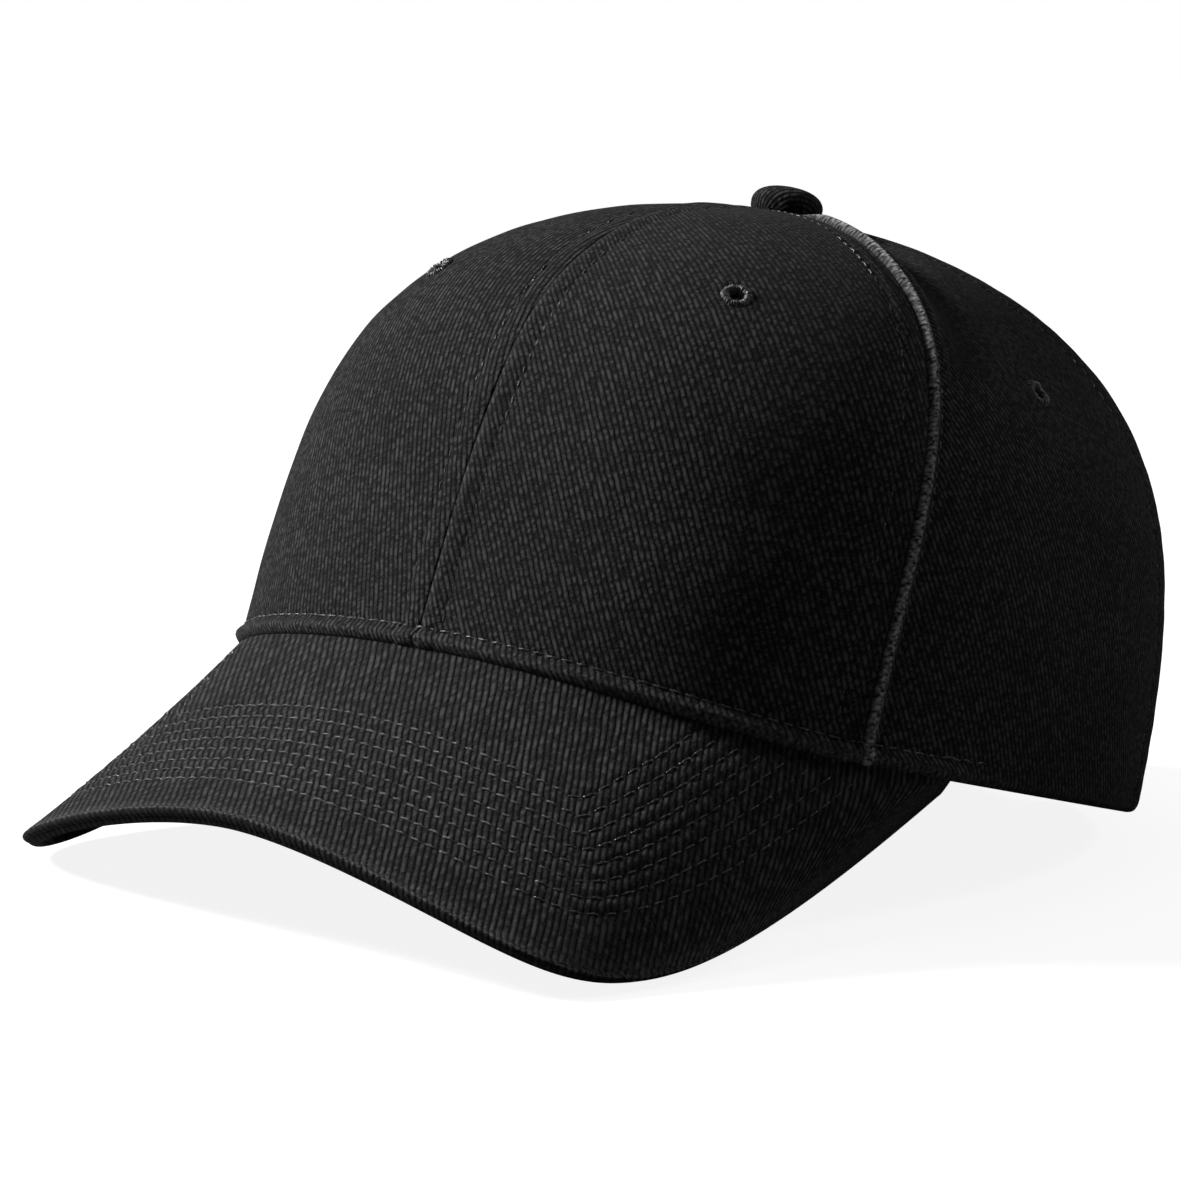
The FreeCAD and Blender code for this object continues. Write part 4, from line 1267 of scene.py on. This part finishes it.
bandTop = band["hemGap"] + band["height"]
coverNear = band["depth"] + band["pad"] + band["gap"]
columns = 191
pad = bandStrip("sweatbandPad", band["hemGap"] + 1.0, bandTop - 0.9, band["depth"] + 0.05, coverNear - 0.1,
    columns, foamFinish, 0.5)
rows = 17
spot = np.arange(2 * rows * columns) % (rows * columns)
firm = (spot // columns < 2) | (spot // columns > rows - 3) | (spot % columns < 1) | (spot % columns > columns
    - 2)
fillOut(pad, firm, band["padFullness"])
smoothed(pad)
dress(pad, "crown", "sweatband_pad")
sweatband = bandStrip("sweatband", band["hemGap"], bandTop, coverNear, coverNear + band["cover"], columns,
    bandCloth, 0.32)
height = np.tile(np.repeat(np.concatenate([[0.0, 0.5, 1.2], np.linspace(2.4, 29.6, 11), [30.8, 31.5, 32.0]]),
    columns), 2)
firm = (height < band["lowRow"]) | (height > band["highRow"])
firm |= (spot % columns < 1) | (spot % columns > columns - 2)
firm |= np.arange(len(spot)) < rows * columns   # the side against the pad keeps still
fillOut(sweatband, firm, band["fullness"])
smoothed(sweatband)
dress(sweatband, "crown", "sweatband")
turns = np.radians(np.linspace(-band["end"] + 1, band["end"] - 1, 900))
bandRows = []
for height in (band["lowRow"], band["highRow"]):
    high = np.full(900, band["hemGap"] + height)
    bandRows.append((bandPoint(turns, high, coverNear + band["cover"] + 0.02), bandWay(turns, high)))
sew("sweatbandStitches", bandRows, "crown", **{"Seed": 14, "Pitch": 0.0034, "Stitch Length": 0.0027})

# Blank woven label sewn to the band at its two ends
label = {"turn": 136.0, "width": 24.0, "height": 14.0, "thickness": 0.3}
half = math.degrees(label["width"] / crown["meanRadius"]) / 2
turns = np.radians(label["turn"] + np.linspace(-half, half, 41))[None, :] + np.zeros((15, 1))
heights = band["hemGap"] + (band["height"] - label["height"]) / 2 + np.linspace(0, label["height"], 15)[:,
    None] + 0 * turns
across = np.linspace(-1, 1, 41)[None, :]
raised = coverNear + band["cover"] + 0.1 + 0.95 * (1 - across ** 6) + 0.1 * np.cos(across * 5 + heights / 3)
uv = np.stack([turns * band["insideRadius"], heights], -1) * 0.001
tag = shell("sizeLabel", bandPoint(turns, heights, raised),
    bandPoint(turns, heights, raised + label["thickness"]), labelSatin, uv, 1)
dress(tag, "crown", "size_label")
print("sweatband and label done")

# Strap across the opening, and the tab that holds the buckle
strap = {"radius": 104.976, "depth": 2.5, "thickness": 1.6, "bottom": 6.0, "width": 18.0, "half": 56.0,
    "row": 2.0, "tabStart": -35.06, "tabLength": 17.0, "tab": 0.8, "tabDepth": 1.35}


def arcPoint(along, reach, level):
    turn = along / strap["radius"]
    middle = crown["back"] - strap["radius"]
    return np.stack([reach * np.sin(turn), middle + reach * np.cos(turn), level + 0 * turn], -1)


def strapPiece(name, start, end, depth, thickness, dip):
    # a flat band with soft edges and a stitched channel along each edge
    count = int(abs(end - start) / 0.8) * 2 + 1
    along = np.linspace(start, end, count)
    outer = strap["radius"] - depth
    soft = thickness / 2
    levels = [0.0, 0.15, 0.45, 0.9, 1.3, strap["row"] - 0.4, strap["row"], strap["row"] + 0.4,
        strap["row"] + 1.0]
    levels += list(np.linspace(strap["row"] + 2.2, strap["width"] - strap["row"] - 2.2, 11))
    levels = np.array(levels + [strap["width"] - value for value in reversed(levels[:9])])
    near = np.minimum(levels, strap["width"] - levels)
    slim = soft * quarter(near, soft) * 0.96
    along = along[None, :] + 0 * levels[:, None]
    tall = strap["bottom"] + levels[:, None] + 0 * along
    pull = 0.65 + 0.35 * np.cos(2 * math.pi * along / 3.2)
    channel = dip * bump(near, strap["row"], 0.5)[:, None] * pull
    ends = np.minimum(along - start, end - along)
    slim = slim[:, None] + soft * 0.9 * quarter(ends, soft) * (slim[:, None] < soft * 0.5)
    slim = np.minimum(slim, soft * 0.96)
    front = arcPoint(-along, outer - slim - channel, tall)
    back = arcPoint(-along, outer - thickness + slim + channel, tall)
    uv = np.stack([tall, along], -1) * 0.001
    return shell(name, front, back, crownTwill, uv)


webbing = strapPiece("closureStrap", -strap["half"], strap["half"], strap["depth"], strap["thickness"], 0.16)
dress(webbing, "strap", "closure_strap")
tab = strapPiece("buckleTab", -strap["tabStart"], strap["tabLength"] - strap["tabStart"], strap["tabDepth"],
    strap["tab"], 0.1)
dress(tab, "crown", "buckle_tab")
along = np.linspace(-strap["half"] + 1, strap["half"] - 1, 200)
strapRows = []
for level in (strap["row"], strap["width"] - strap["row"]):
    tall = np.full(200, strap["bottom"] + level)
    way = unit(arcPoint(along, 2.0, 0 * tall) - arcPoint(along, 1.0, 0 * tall))
    strapRows.append((arcPoint(along, strap["radius"] - strap["depth"] - 0.16, tall), way))
    strapRows.append((arcPoint(along, strap["radius"] - strap["depth"] - strap["thickness"] + 0.16, tall),
        -way))
sew("strapStitches", strapRows, "strap", **{"Seed": 15, "Bow": 0.0003, "Thread Radius": 0.00019})
print("strap and tab done")

# Hard pieces keep their shape from the frame and take a finish
hardPieces = {"visor_board": boardFinish, "button_shell": steelFinish, "button_plate": steelFinish,
    "button_washer": steelFinish, "button_rivet": steelFinish, "buckle_frame": steelFinish,
    "buckle_pin": steelFinish, "buckle_lever": steelFinish}
for node, material in hardPieces.items():
    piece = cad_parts[node]
    for number in range(max(len(piece.material_slots), 1)):
        if piece.material_slots:
            piece.material_slots[number].link = "OBJECT"
            piece.material_slots[number].material = material
        else:
            piece.data.materials.append(material)


# Stage: pale floor, soft lights and the camera
view = {"place": (0.47106, -0.59343, 0.17153), "aim": (-0.01337, -0.00072, 0.05075), "roll": 1.8605,
    "lens": 113.483}
lights = [  # name, place, size, power, aim
    ("key", (-1.24, -0.64, 0.98), 0.34, 47.0, (0.0, -0.05, 0.05)),
    ("rim", (0.75, 0.95, 0.9), 0.25, 3.0, (0.0, 0.0, 0.08)),
    ("top", (-0.3, 0.1, 1.9), 1.0, 4.0, (0.0, 0.0, 0.05)),
]
roomLight = 0.05
floorGlow = 0.88
floorRadius = 1.6


def makeStage():
    scene = bpy.context.scene
    scene.view_settings.view_transform = "Standard"
    camera = newObject("camera", bpy.data.cameras.new("camera"))
    scene.camera = camera
    camera.data.lens = view["lens"]
    camera.data.sensor_width = 36.0
    camera.data.clip_start = 0.02
    back = (Vector(view["place"]) - Vector(view["aim"])).normalized()
    camera.location = view["place"]
    side = Vector((0, 0, 1)).cross(back).normalized()
    up = back.cross(side)
    turn = math.radians(view["roll"])
    right = side * math.cos(turn) + up * math.sin(turn)
    up = back.cross(right)
    facing = camera.matrix_world.to_3x3()
    for k in range(3):
        facing[k][0], facing[k][1], facing[k][2] = right[k], up[k], back[k]
    camera.rotation_mode = "QUATERNION"
    camera.rotation_quaternion = facing.to_quaternion()
    for name, where, size, power, aim in lights:
        lamp = newObject(name, bpy.data.lights.new(name, "AREA"))
        lamp.data.size = size
        lamp.data.energy = power
        lamp.location = where
        lamp.rotation_mode = "QUATERNION"
        lamp.rotation_quaternion = (Vector(aim) - Vector(where)).to_track_quat("-Z", "Y")
    world = bpy.data.worlds.new("studio")
    world.use_nodes = True
    world.node_tree.nodes["Background"].inputs["Color"].default_value = (1.0, 1.0, 1.0, 1.0)
    seen = addNode(world.node_tree, "ShaderNodeLightPath").outputs["Is Camera Ray"]
    strength = mathNode(world.node_tree, "MULTIPLY_ADD", seen, 1.0 - roomLight, roomLight)
    world.node_tree.links.new(strength, world.node_tree.nodes["Background"].inputs["Strength"])
    scene.world = world
    mesh = bpy.data.meshes.new("floor")
    turns = np.linspace(0, 2 * math.pi, 97)[:-1]
    around = [(floorRadius * math.cos(t), floorRadius * math.sin(t), -0.0002) for t in turns]
    mesh.from_pydata(around, [], [tuple(range(96))])
    paper = bpy.data.materials.new("paleFloor")
    paper.use_nodes = True
    sheet = paper.node_tree.nodes["Principled BSDF"]
    sheet.inputs["Base Color"].default_value = (0.3, 0.3, 0.3, 1)
    sheet.inputs["Roughness"].default_value = 0.9
    sheet.inputs["Specular IOR Level"].default_value = 0.1
    sheet.inputs["Emission Color"].default_value = (1.0, 1.0, 1.0, 1.0)
    seen = addNode(paper.node_tree, "ShaderNodeLightPath").outputs["Is Camera Ray"]
    glow = mathNode(paper.node_tree, "MULTIPLY", seen, floorGlow)
    paper.node_tree.links.new(glow, sheet.inputs["Emission Strength"])
    mesh.materials.append(paper)
    newObject("floor", mesh)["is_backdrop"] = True


makeStage()
print("stage ready")
low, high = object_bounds()
